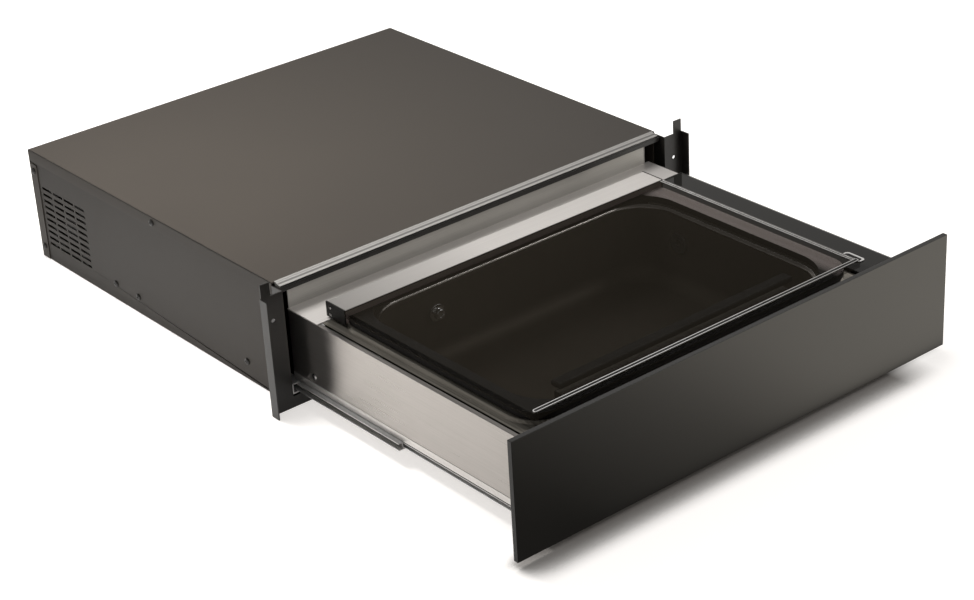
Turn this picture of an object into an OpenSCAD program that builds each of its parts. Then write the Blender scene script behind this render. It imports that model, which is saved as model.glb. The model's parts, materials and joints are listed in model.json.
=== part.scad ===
// Built-in vacuum sealing drawer, drawn pulled out with its lid closed.
// Millimetres. X right, Y to the back, Z up.
// The origin is on the underside, on the centre line, below the top sheet's front edge.

/* [Casing] */
// Width over the top cover
casing_w = 540; // [530:1:552]
// Depth from the top sheet's front edge to the back
casing_d = 500; // [496:1:540]
// Height over the top sheet
casing_h = 140; // [138:1:150]
// Casing sheet thickness
sheet = 1; // [0.8:0.1:1.2]
// Height of the top cover's side flange
cover_flange = 14; // [10:1:20]
// Depth of the rear cover's side flange
rear_flange = 15; // [10:1:20]
// Gap between the rear cover's side flange and the top cover's
flange_gap = 3; // [1:0.5:40]
// Depth of the machine space behind the bulkhead
machine_d = 113.8; // [104:0.2:130]
// Vent slot length
slot_l = 21; // [15:1:23]
// Vent slot height
slot_h = 3; // [2:0.5:5]
// Vent slot pitch along the side
slot_pitch_y = 24.5; // [24.5:0.5:25]
// Vent slot pitch upwards
slot_pitch_z = 8; // [6:0.5:9]
// Centre of the lowest vent slot row
slot_z = 24; // [20:1:36]
// Gap between the vent's last column and the rear flange
vent_back = 6; // [5:1:12]

/* [Front frame] */
// Depth of the front frame ahead of the top sheet
frame_d = 18; // [17:0.5:19]
// Height of the lower rail
low_rail_h = 13.2; // [10:0.2:13.2]
// Drop of the top rail below the top sheet
top_rail_drop = 4; // [4:0.5:5]
// Height of the top rail's front lip
top_rail_lip = 5; // [3:0.5:5]
// Depth of the bright trim strip
trim_d = 9.8; // [8:0.2:12]
// Height the trim strip stands over the top sheet
trim_rise = 1; // [0.5:0.1:1.5]
// Distance the fixing brackets stand out from the casing
bracket_out = 27; // [22:0.5:30]
// Bracket sheet thickness
bracket_t = 1.5; // [1:0.1:2]
// Drop of the bracket below the casing top
bracket_drop = 3; // [2:0.5:8]
// Forward flange depth of the bracket
bracket_lip = 11.5; // [8:0.5:11.5]
// Height of the bracket's tab
tab_h = 15.5; // [8:0.5:20]
// Width of the bracket's tab
tab_w = 11.5; // [8:0.5:14]
// Fixing screw hole diameter
fix_hole_d = 4.5; // [3:0.5:6]
// Distance of the fixing hole from the bracket's outer face
fix_hole_in = 13.5; // [8:0.5:16]
// Height of the fixing hole
fix_hole_z = 108; // [60:1:120]

/* [Slides] */
// Underside of the fixed slide member
slide_z = 14.9; // [14.9:0.1:15.5]
// Height of the fixed slide member
slide_h = 11.7; // [11:0.1:12.5]
// Depth of the fixed slide member
slide_deep = 9; // [8:0.5:10]
// Sheet thickness of the fixed slide member
slide_t = 1.2; // [1:0.1:1.3]
// Sheet thickness of the middle and inner members
mid_t = 1; // [0.8:0.1:1.2]
// Depth the middle member reaches into the fixed one
mid_reach = 3; // [2:0.5:4]
// Neck of the middle member outside the fixed one
mid_neck = 2; // [1.5:0.5:3]
// Inner lip of the middle member
mid_lip = 3.5; // [3:0.5:4]
// Running clearance between slide members
run = 0.4; // [0.2:0.1:0.5]
// Gap between the fixed slide member and the bulkhead
slide_end = 5; // [2:0.5:8]
// Length of the middle slide member beyond the travel
mid_over = 3; // [0:0.5:6]

/* [Drawer] */
// Clearance between the closed panel and the brackets
panel_gap = 0.5; // [0.5:0.1:2]
// Gap between the casing's and the drawer's outer faces
drawer_gap = 14; // [12.5:0.5:15]
// Gap between the closed drawer's back and the bulkhead
stop_gap = 6; // [5:0.5:12]
// Drawer sheet thickness
dsheet = 1; // [0.8:0.1:1.2]
// Top of the light band on the carrier
band_top = 33; // [31:0.5:36]
// Width of the folded edge on top of the side sheets
side_fold = 5; // [4:0.5:6]
// Depth of the rear deck strip
deck_d = 52; // [50:0.5:53]
// Thickness of the rear deck sheet
deck_t = 1.4; // [1.2:0.1:1.5]
// Gap between the rear deck's upstand and the front frame
upstand_gap = 1.5; // [1:0.5:8]
// Distance of the upstand's right end from the drawer side
upstand_end = 4; // [3:0.5:12]
// Corner radius of the upstand's ends
upstand_r = 5; // [4:0.5:5.5]
// Gap between the drawer's back and the top sheet's front edge when open
back_gap = 4; // [3.5:0.5:5]

/* [Front panel] */
// Panel width
panel_w = 594; // [590:1:598]
// Panel height
panel_h = 130; // [126:1:131]
// Panel thickness
panel_t = 6; // [4:0.5:8]
// Height of the panel's lower edge
panel_z = 6; // [5:0.5:8]
// Backing plate thickness
backing_t = 1.2; // [1:0.1:2]
// Margin of the backing plate inside the panel's ends
backing_in = 32; // [30:1:36]

/* [Chamber] */
// Overhang of the lid's ends over the chamber walls
lid_over = 27; // [24:1:40]
// Distance from the front panel's backing to the chamber
tub_front = 45.8; // [44:0.2:60]
// Distance from the deck's front edge to the chamber
tub_back = 19; // [18:0.5:20]
// Chamber corner radius
tub_r = 45; // [34:1:55]
// Chamber floor edge radius
tub_fillet = 18; // [10:1:24]
// Chamber sheet thickness
tub_t = 1; // [0.8:0.1:1.2]
// Underside of the chamber
tub_z = 20; // [18:0.5:26]
// Height of the raised rim round the chamber
rim_h = 3; // [2:0.5:4]
// Distance the raised rim's foot stands out past the lid
rim_out = 4; // [3:0.5:6]
// Corner radius of the raised rim's foot
rim_r = 45; // [40:1:50]
// Gap between the raised rim and the console
rim_gap = 0.5; // [0.3:0.1:1]

/* [Lid] */
// Distance from the drawer's left side to the lid
lid_left = 17; // [15:1:30]
// Gap between the lid's trim and the front frame
lid_gap = 3.8; // [2:0.2:8]
// Depth of the brushed strip at the lid's back
strip_d = 32; // [31:0.5:34]
// Distance from the front panel's backing to the lid
lid_front = 29.8; // [26:0.2:32]
// Gap from the deck's back corner to the lid's back edge
lid_back = 46; // [45:0.5:46]
// Glass thickness
glass_t = 8; // [6:0.5:9]
// Height of the lid's lower frame
lid_frame_h = 7; // [6:0.5:8]
// Distance of the lid frame's opening from the chamber wall
frame_open = 6.5; // [4:0.5:7]
// Distance of the gasket from the chamber wall
gasket_off = 8; // [7.5:0.5:8.5]
// Gasket width
gasket_w = 4; // [3:0.5:4]
// Gasket height below the frame
gasket_show = 1; // [0.5:0.1:1]
// Gasket groove depth in the frame
gasket_in = 2; // [1.5:0.5:3]
// Lid frame inset from the glass edge
frame_in = 3; // [2:0.5:4]
// Corner radius of the lid frame
frame_r = 30; // [20:1:36]
// End cap thickness
cap_t = 1.8; // [1:0.1:2]
// Cover sheet thickness
cover_t = 1; // [0.8:0.1:1.2]
// Hinge pin diameter
pin_d = 4; // [3:0.5:4.5]
// Running clearance of the hinge pin
pin_clear = 0.05; // [0.02:0.01:0.1]
// Hinge axis ahead of the lid's back edge
axis_in = 3.5; // [3.5:0.1:3.8]
// Hinge distance from the lid's ends
hinge_in = 40; // [30:1:80]
// Front trim strip width
ftrim_w = 5.5; // [4:0.5:7]
// Front trim strip height
ftrim_h = 1.2; // [0.8:0.1:1.6]

/* [Seal bar] */
// Distance from the seal bar's ends to the chamber walls
seal_end = 40; // [34:1:60]
// Seal bar width
seal_w = 14; // [12:0.5:16]
// Seal bar height
seal_h = 16; // [14:0.5:20]
// Gap between seal bar and counter bar
seal_gap = 7; // [7:0.1:9]
// Seal bar centre behind the chamber's floor edge
seal_front = 8; // [7.5:0.5:14]
// Guide post diameter
post_d = 7; // [6:0.5:8]
// Sliding clearance on the guide posts
post_clear = 0.08; // [0.03:0.01:0.1]
// Distance from the seal bar's ends to the guide posts
post_in = 42; // [20:1:80]

/* [Console] */
// Control glass thickness
cglass_t = 3; // [3:0.5:4]
// Control glass width
cglass_w = 50.5; // [46:0.5:60]
// Gap between lid and control glass
cglass_gap = 2; // [1.5:0.5:4]
// Overhang of the control glass over the drawer side
cglass_over = 1.5; // [0:0.5:3]
// Depth of the console housing
console_h = 26; // [18:1:40]

/* [Machine space] */
// Pump motor diameter
motor_d = 76; // [60:1:84]
// Pump motor length
motor_l = 110; // [90:1:125]
// Height of the pump's axis
pump_z = 54; // [52:1:60]
// Pump head width
head_w = 64; // [50:1:70]
// Gap between the pump's hose and the top sheet
hose_gap = 10; // [5:1:20]
// Fan size
fan_size = 80; // [70:1:84]
// Gap between the fan and the casing side
fan_gap = 3; // [3:0.5:6]
// Fan depth
fan_t = 22; // [18:1:26]
// Number of fan blades
fan_blades = 7; // [5:1:9]
// Catch plunger diameter
plunger_d = 8; // [6:0.5:10]
// Running clearance of the plunger
plunger_clear = 0.06; // [0.03:0.01:0.1]
// Travel of the plunger
plunger_travel = 6; // [4:0.5:8]

/* [Hidden] */
$fn = 0;
e = 1;

// casing planes
cx = casing_w / 2;
sx = cx - sheet;
ix = sx - sheet;
top_in = casing_h - sheet;
wall_gap = 0.1;
side_h = top_in - wall_gap;
rear_in = casing_d - sheet;
rear_flange_h = casing_h - cover_flange - sheet - flange_gap;
bx = cx + bracket_out;
bracket_h = casing_h - bracket_drop;
rail_top = casing_h - top_rail_drop;
rail_low = rail_top - top_rail_lip;

// machine space and travel
wall_t = 1.2;
wall_y = rear_in - machine_d - wall_t;
closed_back = wall_y - stop_gap - upstand_r;
travel = closed_back + back_gap;
my = (wall_y + wall_t + rear_in) / 2;

// slide planes
mouth_x = ix - slide_deep;
mid_tip = mouth_x + mid_reach;
mid_web = mouth_x - mid_neck;
mid_in = mid_web - mid_t;
mid_end = mid_in - mid_lip;
mid_z0 = slide_z + slide_t + run;
mid_z1 = slide_z + slide_h - slide_t - run;
in_z0 = mid_z0 + mid_t + run;
in_z1 = mid_z1 - mid_t - run;
in_tip = mid_in - run;
carrier_gap = 3.5;
car_x = mid_end - carrier_gap;
slide_front = -frame_d + sheet;
mid_front = -travel / 2 - 1.5;
in_front_gap = 5;
in_back_gap = 6;
mid_l = travel + mid_over;

// drawer planes
dx = cx - drawer_gap;
back_y = -back_gap;
deck_front = back_y - deck_d;
panel_back = -frame_d - bracket_lip - panel_gap - travel;
panel_front = panel_back - panel_t;
backing_y = panel_back + backing_t;
front_y = backing_y;
floor_gap = 0.8;
car_z = low_rail_h + floor_gap;
band_z = mid_z1 + run + 0.1;
band_out = 0.4;
band_x = dx + band_out;
lid_z = rail_low - lid_gap - ftrim_h;
side_top = lid_z - glass_t - lid_frame_h - gasket_show - rim_h - tub_t;
upstand_top = rail_low - upstand_gap;
deck_z = side_top + deck_t;
plate_z = side_top + tub_t;
groove = 1.5;
plate_seat = 5;
plate_left = -dx + side_fold + groove;

// chamber planes
gx1 = dx + cglass_over;
gx0 = gx1 - cglass_w;
lx0 = -dx + lid_left;
lx1 = gx0 - cglass_gap;
tx0 = lx0 + lid_over;
tx1 = lx1 - lid_over;
ty1 = deck_front - tub_back;
ty0 = front_y + tub_front;
rim_z = plate_z + rim_h;
tub_in_z = tub_z + tub_t;

// lid planes
ly1 = back_y - lid_back;
ly0 = front_y + lid_front;
gask_z0 = rim_z;
fr_z0 = gask_z0 + gasket_show;
fr_z1 = fr_z0 + lid_frame_h;
strip_y = ly1 - strip_d;
fit = 0.4;
gy1 = strip_y - fit;
axis_y = ly1 - axis_in;
axis_z = fr_z1 - 1;
cap_z0 = deck_z + 1.8;
cover_in = lid_z - cover_t;
beam_y = ty1 + gasket_off + gasket_w;
knuckle_r = pin_d / 2 + 2;
ear_t = 3;
arm_t = 3;
ear_gap = 0.3;
hinge_pair = 14;
notch_gap = 2;
hx = [lx0 + hinge_in, lx1 - hinge_in];

// console planes
console_y1 = deck_front - 1;
plate_right = gx0 - 1;
glass_z = plate_z;

slide_l = wall_y - slide_end - slide_front;

black = [0.10, 0.10, 0.10];
paint = [0.33, 0.31, 0.29];
steel = [0.75, 0.73, 0.71];
zinc = [0.68, 0.69, 0.70];
bright = [0.85, 0.85, 0.86];
dark_glass = [0.10, 0.10, 0.10, 0.75];
rubber = [0.07, 0.07, 0.07];
copper = [0.72, 0.42, 0.22];
green = [0.12, 0.35, 0.18];

// a box from its low and high limits
module box(x0, x1, y0, y1, z0, z1) {
  translate([x0, y0, z0]) cube([x1 - x0, y1 - y0, z1 - z0]);
}

// an upright plate shape with round corners
module rbox(x0, x1, y0, y1, z0, z1, r) {
  box(x0 + r, x1 - r, y0, y1, z0, z1);
  box(x0, x1, y0 + r, y1 - r, z0, z1);
  for (x = [x0 + r, x1 - r], y = [y0 + r, y1 - r])
    translate([x, y, z0]) cylinder(h = z1 - z0, r = r);
}

// a pan shape with round corners and a round floor edge
module pan(x0, x1, y0, y1, z0, z1, r, f) {
  rbox(x0, x1, y0, y1, z0 + f, z1, r);
  rbox(x0 + f, x1 - f, y0 + f, y1 - f, z0, z1, r - f);
  for (x = [x0 + f, x1 - f])
    translate([x, y0 + r, z0 + f]) rotate([-90, 0, 0]) cylinder(h = y1 - y0 - 2 * r, r = f);
  for (y = [y0 + f, y1 - f])
    translate([x0 + r, y, z0 + f]) rotate([0, 90, 0]) cylinder(h = x1 - x0 - 2 * r, r = f);
  for (x = [x0 + r, x1 - r], y = [y0 + r, y1 - r])
    translate([x, y, z0 + f]) rotate_extrude() translate([r - f, 0]) circle(r = f);
}

// a raised plate with round corners and sides that slope as much as it is high
module sloped(x0, x1, y0, y1, z0, z1, r) {
  h = z1 - z0;
  translate([0, y1 - r, z0]) rotate([90, 0, 0]) linear_extrude(y1 - y0 - 2 * r)
    polygon([[x0, 0], [x1, 0], [x1 - h, h], [x0 + h, h]]);
  translate([x0 + r, 0, z0]) rotate([90, 0, 90]) linear_extrude(x1 - x0 - 2 * r)
    polygon([[y0, 0], [y1, 0], [y1 - h, h], [y0 + h, h]]);
  for (x = [x0 + r, x1 - r], y = [y0 + r, y1 - r])
    translate([x, y, z0]) cylinder(h = h, r1 = r, r2 = r - h);
}

// a rod along X
module rod_x(x0, x1, y, z, r) {
  translate([x0, y, z]) rotate([0, 90, 0]) cylinder(h = x1 - x0, r = r);
}

// a rod along Y
module rod_y(y0, y1, x, z, r) {
  translate([x, y0, z]) rotate([-90, 0, 0]) cylinder(h = y1 - y0, r = r);
}

// one side of a piece, repeated on the other by a mirror
module side(s) {
  if (s > 0) children();
  else mirror([1, 0, 0]) children();
}

module both() {
  children();
  mirror([1, 0, 0]) children();
}

// Casing

vent_cols = 4;
vent_rows = 10;
vent_end = casing_d - rear_flange - vent_back;
screw_r = 3.2;
screw_head = 1.6;

module vent_cut() {
  for (c = [0 : vent_cols - 1], r = [0 : vent_rows - 1])
    box(ix - e, sx + e, vent_end - slot_l - c * slot_pitch_y, vent_end - c * slot_pitch_y,
        slot_z + r * slot_pitch_z - slot_h / 2, slot_z + r * slot_pitch_z + slot_h / 2);
}

module casing_tray() {
  color(paint) {
    box(-sx, sx, slide_front, rear_in, 0, sheet);
    both() difference() {
      box(ix, sx, 0, rear_in, sheet, side_h);
      vent_cut();
    }
  }
}

module top_cover() {
  color(paint) {
    box(-cx, cx, 0, casing_d, top_in, casing_h);
    both() box(sx, cx, 0, rear_in, casing_h - cover_flange, top_in);
  }
}

inlet_x = 150;
inlet_z = 60;
inlet_w = 28;
inlet_h = 22;
inlet_d = 24;
inlet_lip = 5;
out_slots = 8;
out_slot_l = 40;
out_x = -150;

module rear_cover() {
  color(paint) difference() {
    union() {
      box(-cx, cx, rear_in, casing_d, sheet, side_h);
      both() box(sx, cx, casing_d - rear_flange, rear_in, sheet, sheet + rear_flange_h);
    }
    box(inlet_x - inlet_w / 2, inlet_x + inlet_w / 2, rear_in - e, casing_d + e,
        inlet_z - inlet_h / 2, inlet_z + inlet_h / 2);
    for (r = [0 : out_slots - 1], x = [out_x, out_x + out_slot_l + slot_pitch_z])
      box(x, x + out_slot_l, rear_in - e, casing_d + e,
          slot_z + r * slot_pitch_z - slot_h / 2, slot_z + r * slot_pitch_z + slot_h / 2);
  }
}

rail_back = 14;
rail_proud = 0.6;
rail_front = -trim_d - rail_proud;

module front_top_rail() {
  color(paint) {
    box(-ix, ix, rail_front, rail_back, rail_top - sheet, rail_top);
    box(-ix, ix, rail_front, rail_front + sheet, rail_top - top_rail_lip, rail_top - sheet);
    box(-ix, ix, rail_back - sheet, rail_back, rail_top, top_in);
  }
}

trim_end = 4;
trim_fall = 2.7;
rib = 1.8;
flute = 0.6;
trim_top = casing_h + trim_rise;

// the strip's top slopes to the front, with a flute between two ribs
function trim_z(y) = trim_top - trim_fall * y / trim_d;

module top_trim_strip() {
  color(bright) {
    translate([-cx + trim_end, 0, 0]) rotate([90, 0, 90])
      linear_extrude(casing_w - 2 * trim_end)
        polygon([[-trim_d, rail_top], [0, rail_top], [0, trim_top], [-rib, trim_z(rib)],
          [-rib - flute, trim_z(rib + flute) - flute],
          [-trim_d + rib + flute, trim_z(trim_d - rib - flute) - flute],
          [-trim_d + rib, trim_z(trim_d - rib)], [-trim_d, trim_z(trim_d)]]);
  }
}

module front_lower_rail() {
  color(black) {
    box(-sx, sx, -frame_d, slide_front, 0, low_rail_h);
    box(-sx, sx, slide_front, -sheet, low_rail_h - sheet, low_rail_h);
    box(-sx, sx, -2 * sheet, -sheet, sheet, low_rail_h - sheet);
  }
}

bracket_y = -frame_d + bracket_t;
return_t = 1.2;
return_l = 20;
return_z = 4;

module bracket() {
  color(black) difference() {
    union() {
      box(sx, bx, -frame_d, bracket_y, 0, bracket_h);
      box(bx - bracket_t - tab_w, bx - bracket_t, -frame_d, bracket_y, bracket_h, bracket_h + tab_h);
      box(bx - bracket_t, bx, -frame_d - bracket_lip, -frame_d, 0, bracket_h);
      box(sx, sx + return_t, bracket_y, return_l, return_z, casing_h - cover_flange - 1);
      box(sx, sx + return_t, bracket_y, -wall_gap, return_z, bracket_h);
    }
    rod_y(-frame_d - e, bracket_y + e, bx - fix_hole_in, fix_hole_z, fix_hole_d / 2);
  }
}

side_screw_z = 22;
front_screw_y = 65;
rear_screw_in = 169;
screw_pitch = 48;
side_screws = [[side_screw_z + 1, front_screw_y], [side_screw_z, casing_d - rear_screw_in - screw_pitch],
  [side_screw_z, casing_d - rear_screw_in]];
flange_screw_in = 16;
flange_screws = [flange_screw_in, rear_flange_h - flange_screw_in / 2];
cover_screw_in = 270;

module screw_x(x, y, z) {
  difference() {
    rod_x(x, x + screw_head, y, z, screw_r);
    rod_x(x + screw_head / 2, x + screw_head + e, y, z, screw_r / 2);
  }
}

module casing_screws() {
  color(black) both() {
    for (s = side_screws) screw_x(sx, s[1], s[0]);
    for (z = flange_screws) screw_x(cx, casing_d - rear_flange / 2, z);
    screw_x(cx, casing_d - cover_screw_in, casing_h - cover_flange / 2);
  }
}

// Slides

module slide_outer() {
  color(zinc) {
    box(ix - slide_t, ix, slide_front, slide_front + slide_l, slide_z, slide_z + slide_h);
    for (z = [slide_z, slide_z + slide_h - slide_t])
      box(mouth_x, ix - slide_t, slide_front, slide_front + slide_l, z, z + slide_t);
  }
}

module slide_mid() {
  color(zinc) {
    box(mid_in, mid_web, mid_front, mid_front + mid_l, mid_z0, mid_z1);
    for (z = [mid_z0, mid_z1 - mid_t]) {
      box(mid_web, mid_tip, mid_front, mid_front + mid_l, z, z + mid_t);
      box(mid_end, mid_in, mid_front, mid_front + mid_l, z, z + mid_t);
    }
  }
}

module slide_inner() {
  color(zinc) {
    box(car_x, car_x + mid_t, front_y + in_front_gap, back_y - in_back_gap, in_z0, in_z1);
    for (z = [in_z0, in_z1 - mid_t])
      box(car_x + mid_t, in_tip, front_y + in_front_gap, back_y - in_back_gap, z, z + mid_t);
  }
}

// Drawer body

module drawer_carrier() {
  color(zinc) {
    box(-car_x, car_x, front_y, back_y, car_z, car_z + dsheet);
    both() {
      box(car_x - dsheet, car_x, front_y, back_y, car_z + dsheet, band_top);
      box(car_x, band_x, front_y, back_y, band_top - dsheet, band_top);
      box(band_x - dsheet, band_x, front_y, back_y, band_z, band_top - dsheet);
    }
  }
}

module drawer_side() {
  color(steel) {
    box(dx - dsheet, dx, front_y, back_y, band_top, side_top);
    box(dx - side_fold, dx - dsheet, front_y, back_y, side_top - dsheet, side_top);
    box(car_x, dx - dsheet, front_y, back_y, band_top, band_top + dsheet);
  }
}

module drawer_back() {
  color(zinc) {
    box(-dx + dsheet, dx - dsheet, back_y - dsheet, back_y, band_top + dsheet, side_top - dsheet);
    box(-car_x + dsheet, car_x - dsheet, back_y - dsheet, back_y, car_z + dsheet, band_top + dsheet);
    box(-dx + side_fold, dx - side_fold, deck_front - plate_seat, back_y, side_top - dsheet, side_top);
  }
}

// an upright sheet whose right end turns to the back
module upstand_plan(x0, x1, r, t) {
  box(x0, x1 - r, back_y - t, back_y, deck_z, upstand_top);
  translate([x1 - r, back_y - t + r, deck_z]) difference() {
    cylinder(h = upstand_top - deck_z, r = r);
    translate([0, 0, -e]) cylinder(h = upstand_top - deck_z + 2 * e, r = r - t);
    translate([-r - e, -r - e, -e]) cube([r + e, 2 * r + 2 * e, upstand_top]);
    translate([-r - e, 0, -e]) cube([2 * r + 2 * e, r + e, upstand_top]);
  }
}

module rear_deck() {
  color(steel) {
    box(-dx, dx, deck_front, back_y, side_top, deck_z);
    upstand_plan(-dx + dsheet, dx - upstand_end, upstand_r, deck_t);
  }
}

port_in = 60;
port_y = ty1 - port_in;
port_z = 74;
port_r = 7;
port_bore = 4.5;
port_flange = 12;

module chamber_tub() {
  color(steel) difference() {
    union() {
      box(plate_left, plate_right, front_y + groove, deck_front - groove, side_top, plate_z);
      pan(tx0 - tub_t, tx1 + tub_t, ty0 - tub_t, ty1 + tub_t, tub_z, plate_z, tub_r + tub_t,
          tub_fillet + tub_t);
      sloped(lx0 - rim_out, plate_right - rim_gap, ly0 - rim_out, beam_y + rim_h, plate_z,
             rim_z, rim_r);
    }
    pan(tx0, tx1, ty0, ty1, tub_in_z, plate_z + tub_fillet + e, tub_r, tub_fillet);
    rod_x(tx1 - e, tx1 + tub_t + e, port_y, port_z, port_r);
  }
}

module front_panel() {
  color(black) box(-panel_w / 2, panel_w / 2, panel_front, panel_back, panel_z, panel_z + panel_h);
}

backing_z = 8;

module panel_backing() {
  color(zinc) difference() {
    box(-panel_w / 2 + backing_in, panel_w / 2 - backing_in, panel_back, backing_y,
        panel_z + backing_z, plate_z);
    for (s = [-1, 1]) rod_y(panel_back - e, backing_y + e, s * panel_w / 4, panel_z + 3 * backing_z, 3);
  }
  color(zinc) box(-dx + side_fold, dx - side_fold, backing_y, backing_y + plate_seat, side_top - dsheet,
    side_top);
}

module control_glass() {
  color(dark_glass) box(gx0, gx1, front_y + 1, console_y1, glass_z, glass_z + cglass_t);
}

wall = 1.6;
con_x0 = plate_right + 3;
con_x1 = dx - side_fold - 2;
con_y0 = front_y + 6;
con_y1 = console_y1 - 6;

module console_housing() {
  color(black) difference() {
    union() {
      box(con_x0, con_x1, con_y0, con_y1, glass_z - console_h, glass_z);
      box(con_x0, con_x1, front_y + groove, console_y1 - groove, side_top, glass_z);
    }
    box(con_x0 + wall, con_x1 - wall, con_y0 + wall, con_y1 - wall, glass_z - console_h + wall,
        glass_z + e);
  }
}

board_t = 1.6;
board_gap = 3;
pads = 5;
pad_pitch = 32;
pad_start = 30;
display_in = 40;
pad_r = 6;
display_l = 60;

module control_board() {
  bz = glass_z - console_h + wall;
  b0 = con_x0 + wall + board_gap;
  b1 = con_x1 - wall - board_gap;
  color(green) {
    box(b0, b1, con_y0 + wall + board_gap, con_y1 - wall - board_gap, bz + board_gap,
        bz + board_gap + board_t);
    for (x = [b0 + pad_r, b1 - pad_r], y = [con_y0 + wall + 3 * board_gap, con_y1 - wall - 3 * board_gap])
      translate([x, y, bz]) cylinder(h = board_gap, r = board_gap);
  }
  color(zinc) for (i = [0 : pads - 1])
    translate([(b0 + b1) / 2, con_y0 + pad_start + i * pad_pitch, bz + board_gap + board_t])
      cylinder(h = glass_z - bz - board_gap - board_t, r = pad_r);
  color(black) box(b0, b1, con_y1 - display_in - display_l, con_y1 - display_in,
    bz + board_gap + board_t, glass_z);
}

// Lid hinge

ear_base = 1.4;
ear_back = 18;
ear_start = 4.5;

module hinge_brackets() {
  color(zinc) for (x = hx) difference() {
    union() {
      box(x - hinge_pair / 2, x + hinge_pair / 2, axis_y + ear_start, axis_y + ear_back, deck_z,
          deck_z + ear_base);
      box(x - hinge_pair / 2, x - hinge_pair / 2 + ear_t, deck_front + 0.5, axis_y + ear_back, deck_z,
          axis_z - knuckle_r + 1);
      box(x - hinge_pair / 2, x - hinge_pair / 2 + ear_t, deck_front + 0.5, axis_y + knuckle_r,
          deck_z, axis_z);
      rod_x(x - hinge_pair / 2, x - hinge_pair / 2 + ear_t, axis_y, axis_z, knuckle_r);
    }
    rod_x(x - hinge_pair, x + hinge_pair, axis_y, axis_z, pin_d / 2);
  }
}

module hinge_pins() {
  color(bright) for (x = hx)
    rod_x(x - hinge_pair / 2, x - hinge_pair / 2 + ear_t + ear_gap + arm_t + 1, axis_y, axis_z, pin_d / 2);
}

module lid_hinge_arms() {
  color(zinc) for (x = hx) difference() {
    union() {
      box(x - hinge_pair / 2 + ear_t + ear_gap, x - hinge_pair / 2 + ear_t + ear_gap + arm_t,
          beam_y, axis_y, axis_z - knuckle_r, axis_z + knuckle_r);
      rod_x(x - hinge_pair / 2 + ear_t + ear_gap, x - hinge_pair / 2 + ear_t + ear_gap + arm_t,
            axis_y, axis_z, knuckle_r);
    }
    rod_x(x - hinge_pair, x + hinge_pair, axis_y, axis_z, pin_d / 2 + pin_clear);
  }
}

// Lid

beam_front = strip_y;

// the chamber's plan, grown by o
module ring_box(o, z0, z1) {
  rbox(tx0 - o, tx1 + o, ty0 - o, ty1 + o, z0, z1, tub_r + o);
}

module lid_frame() {
  color(black) difference() {
    union() {
      rbox(lx0 + frame_in, lx1 - frame_in, ly0 + frame_in, beam_y, fr_z0, fr_z1, frame_r);
      box(lx0 + cap_t, lx1 - cap_t, beam_front, beam_y, fr_z1, cover_in);
      box(lx0 + cap_t, lx1 - cap_t, beam_front, beam_y, fr_z0, fr_z1);
    }
    ring_box(frame_open, fr_z0 - e, fr_z1);
    difference() {
      ring_box(gasket_off + gasket_w, fr_z0 - e, fr_z0 + gasket_in);
      ring_box(gasket_off, fr_z0 - 2 * e, fr_z0 + gasket_in + e);
    }
  }
}

module lid_gasket() {
  color(rubber) difference() {
    ring_box(gasket_off + gasket_w, gask_z0, fr_z0 + gasket_in);
    ring_box(gasket_off, gask_z0 - e, fr_z0 + gasket_in + e);
  }
}

module lid_glass() {
  color(dark_glass) box(lx0, lx1, ly0, gy1, fr_z1, lid_z);
}

module lid_rear_cover() {
  color(steel) difference() {
    union() {
      box(lx0 + cap_t, lx1 - cap_t, strip_y, ly1, cover_in, lid_z);
      box(lx0 + cap_t, lx1 - cap_t, ly1 - cover_t, ly1, cap_z0 + 1, cover_in);
    }
    for (x = hx)
      box(x - hinge_pair / 2 - notch_gap, x + hinge_pair / 2 + notch_gap, ly1 - cover_t - e, ly1 + e,
          cap_z0, cover_in);
  }
}

module lid_end_caps() {
  color(black) {
    box(lx0, lx0 + cap_t, strip_y, ly1, cap_z0, lid_z);
    box(lx1 - cap_t, lx1, strip_y, ly1, cap_z0, lid_z);
  }
}

cap_screw_r = 2;
cap_screw_h = 0.8;

module lid_cap_screws() {
  color(bright) for (z = [axis_z - 4, axis_z + 4]) {
    rod_x(lx0 - cap_screw_h, lx0, axis_y - 4, z, cap_screw_r);
    rod_x(lx1, lx1 + cap_screw_h, axis_y - 4, z, cap_screw_r);
  }
}

counter_h = 6;
counter_over = 4;
seal_x0 = tx0 + seal_end;
seal_x1 = tx1 - seal_end;
sy = ty0 + tub_fillet + seal_front;

module counter_bar() {
  color(rubber) box(seal_x0 - counter_over, seal_x1 + counter_over, sy - seal_w / 2,
    sy + seal_w / 2, fr_z1 - counter_h, fr_z1);
}

// a bar along X with round ends
module bar_x(x0, x1, y, z0, z1, r) {
  box(x0 + r, x1 - r, y - r, y + r, z0, z1);
  for (x = [x0 + r, x1 - r]) translate([x, y, z0]) cylinder(h = z1 - z0, r = r);
}

ftrim_wall = 1.2;

module lid_front_trim() {
  ty = ly0 + ftrim_w / 2;
  color(bright) difference() {
    bar_x(lx0 + 2, lx1 - 1, ty, lid_z, lid_z + ftrim_h, ftrim_w / 2);
    bar_x(lx0 + 2 + ftrim_wall, lx1 - 1 - ftrim_wall, ty, lid_z + ftrim_h / 2, lid_z + ftrim_h + e,
          ftrim_w / 2 - ftrim_wall);
  }
}

strim_w = 5;

module lid_side_trim() {
  color(bright) difference() {
    box(lx1 - strim_w - 1, lx1 - 1, ly0 + ftrim_w + 1, gy1 - 2, lid_z, lid_z + ftrim_h / 2);
    box(lx1 - strim_w + 0.5, lx1 - strim_w + 2, ly0 + ftrim_w, gy1, lid_z + ftrim_h / 4, lid_z + ftrim_h);
  }
}

catch_w = 11;
catch_l = 26;
catch_t = 2;
catch_rim = 2.5;

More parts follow.
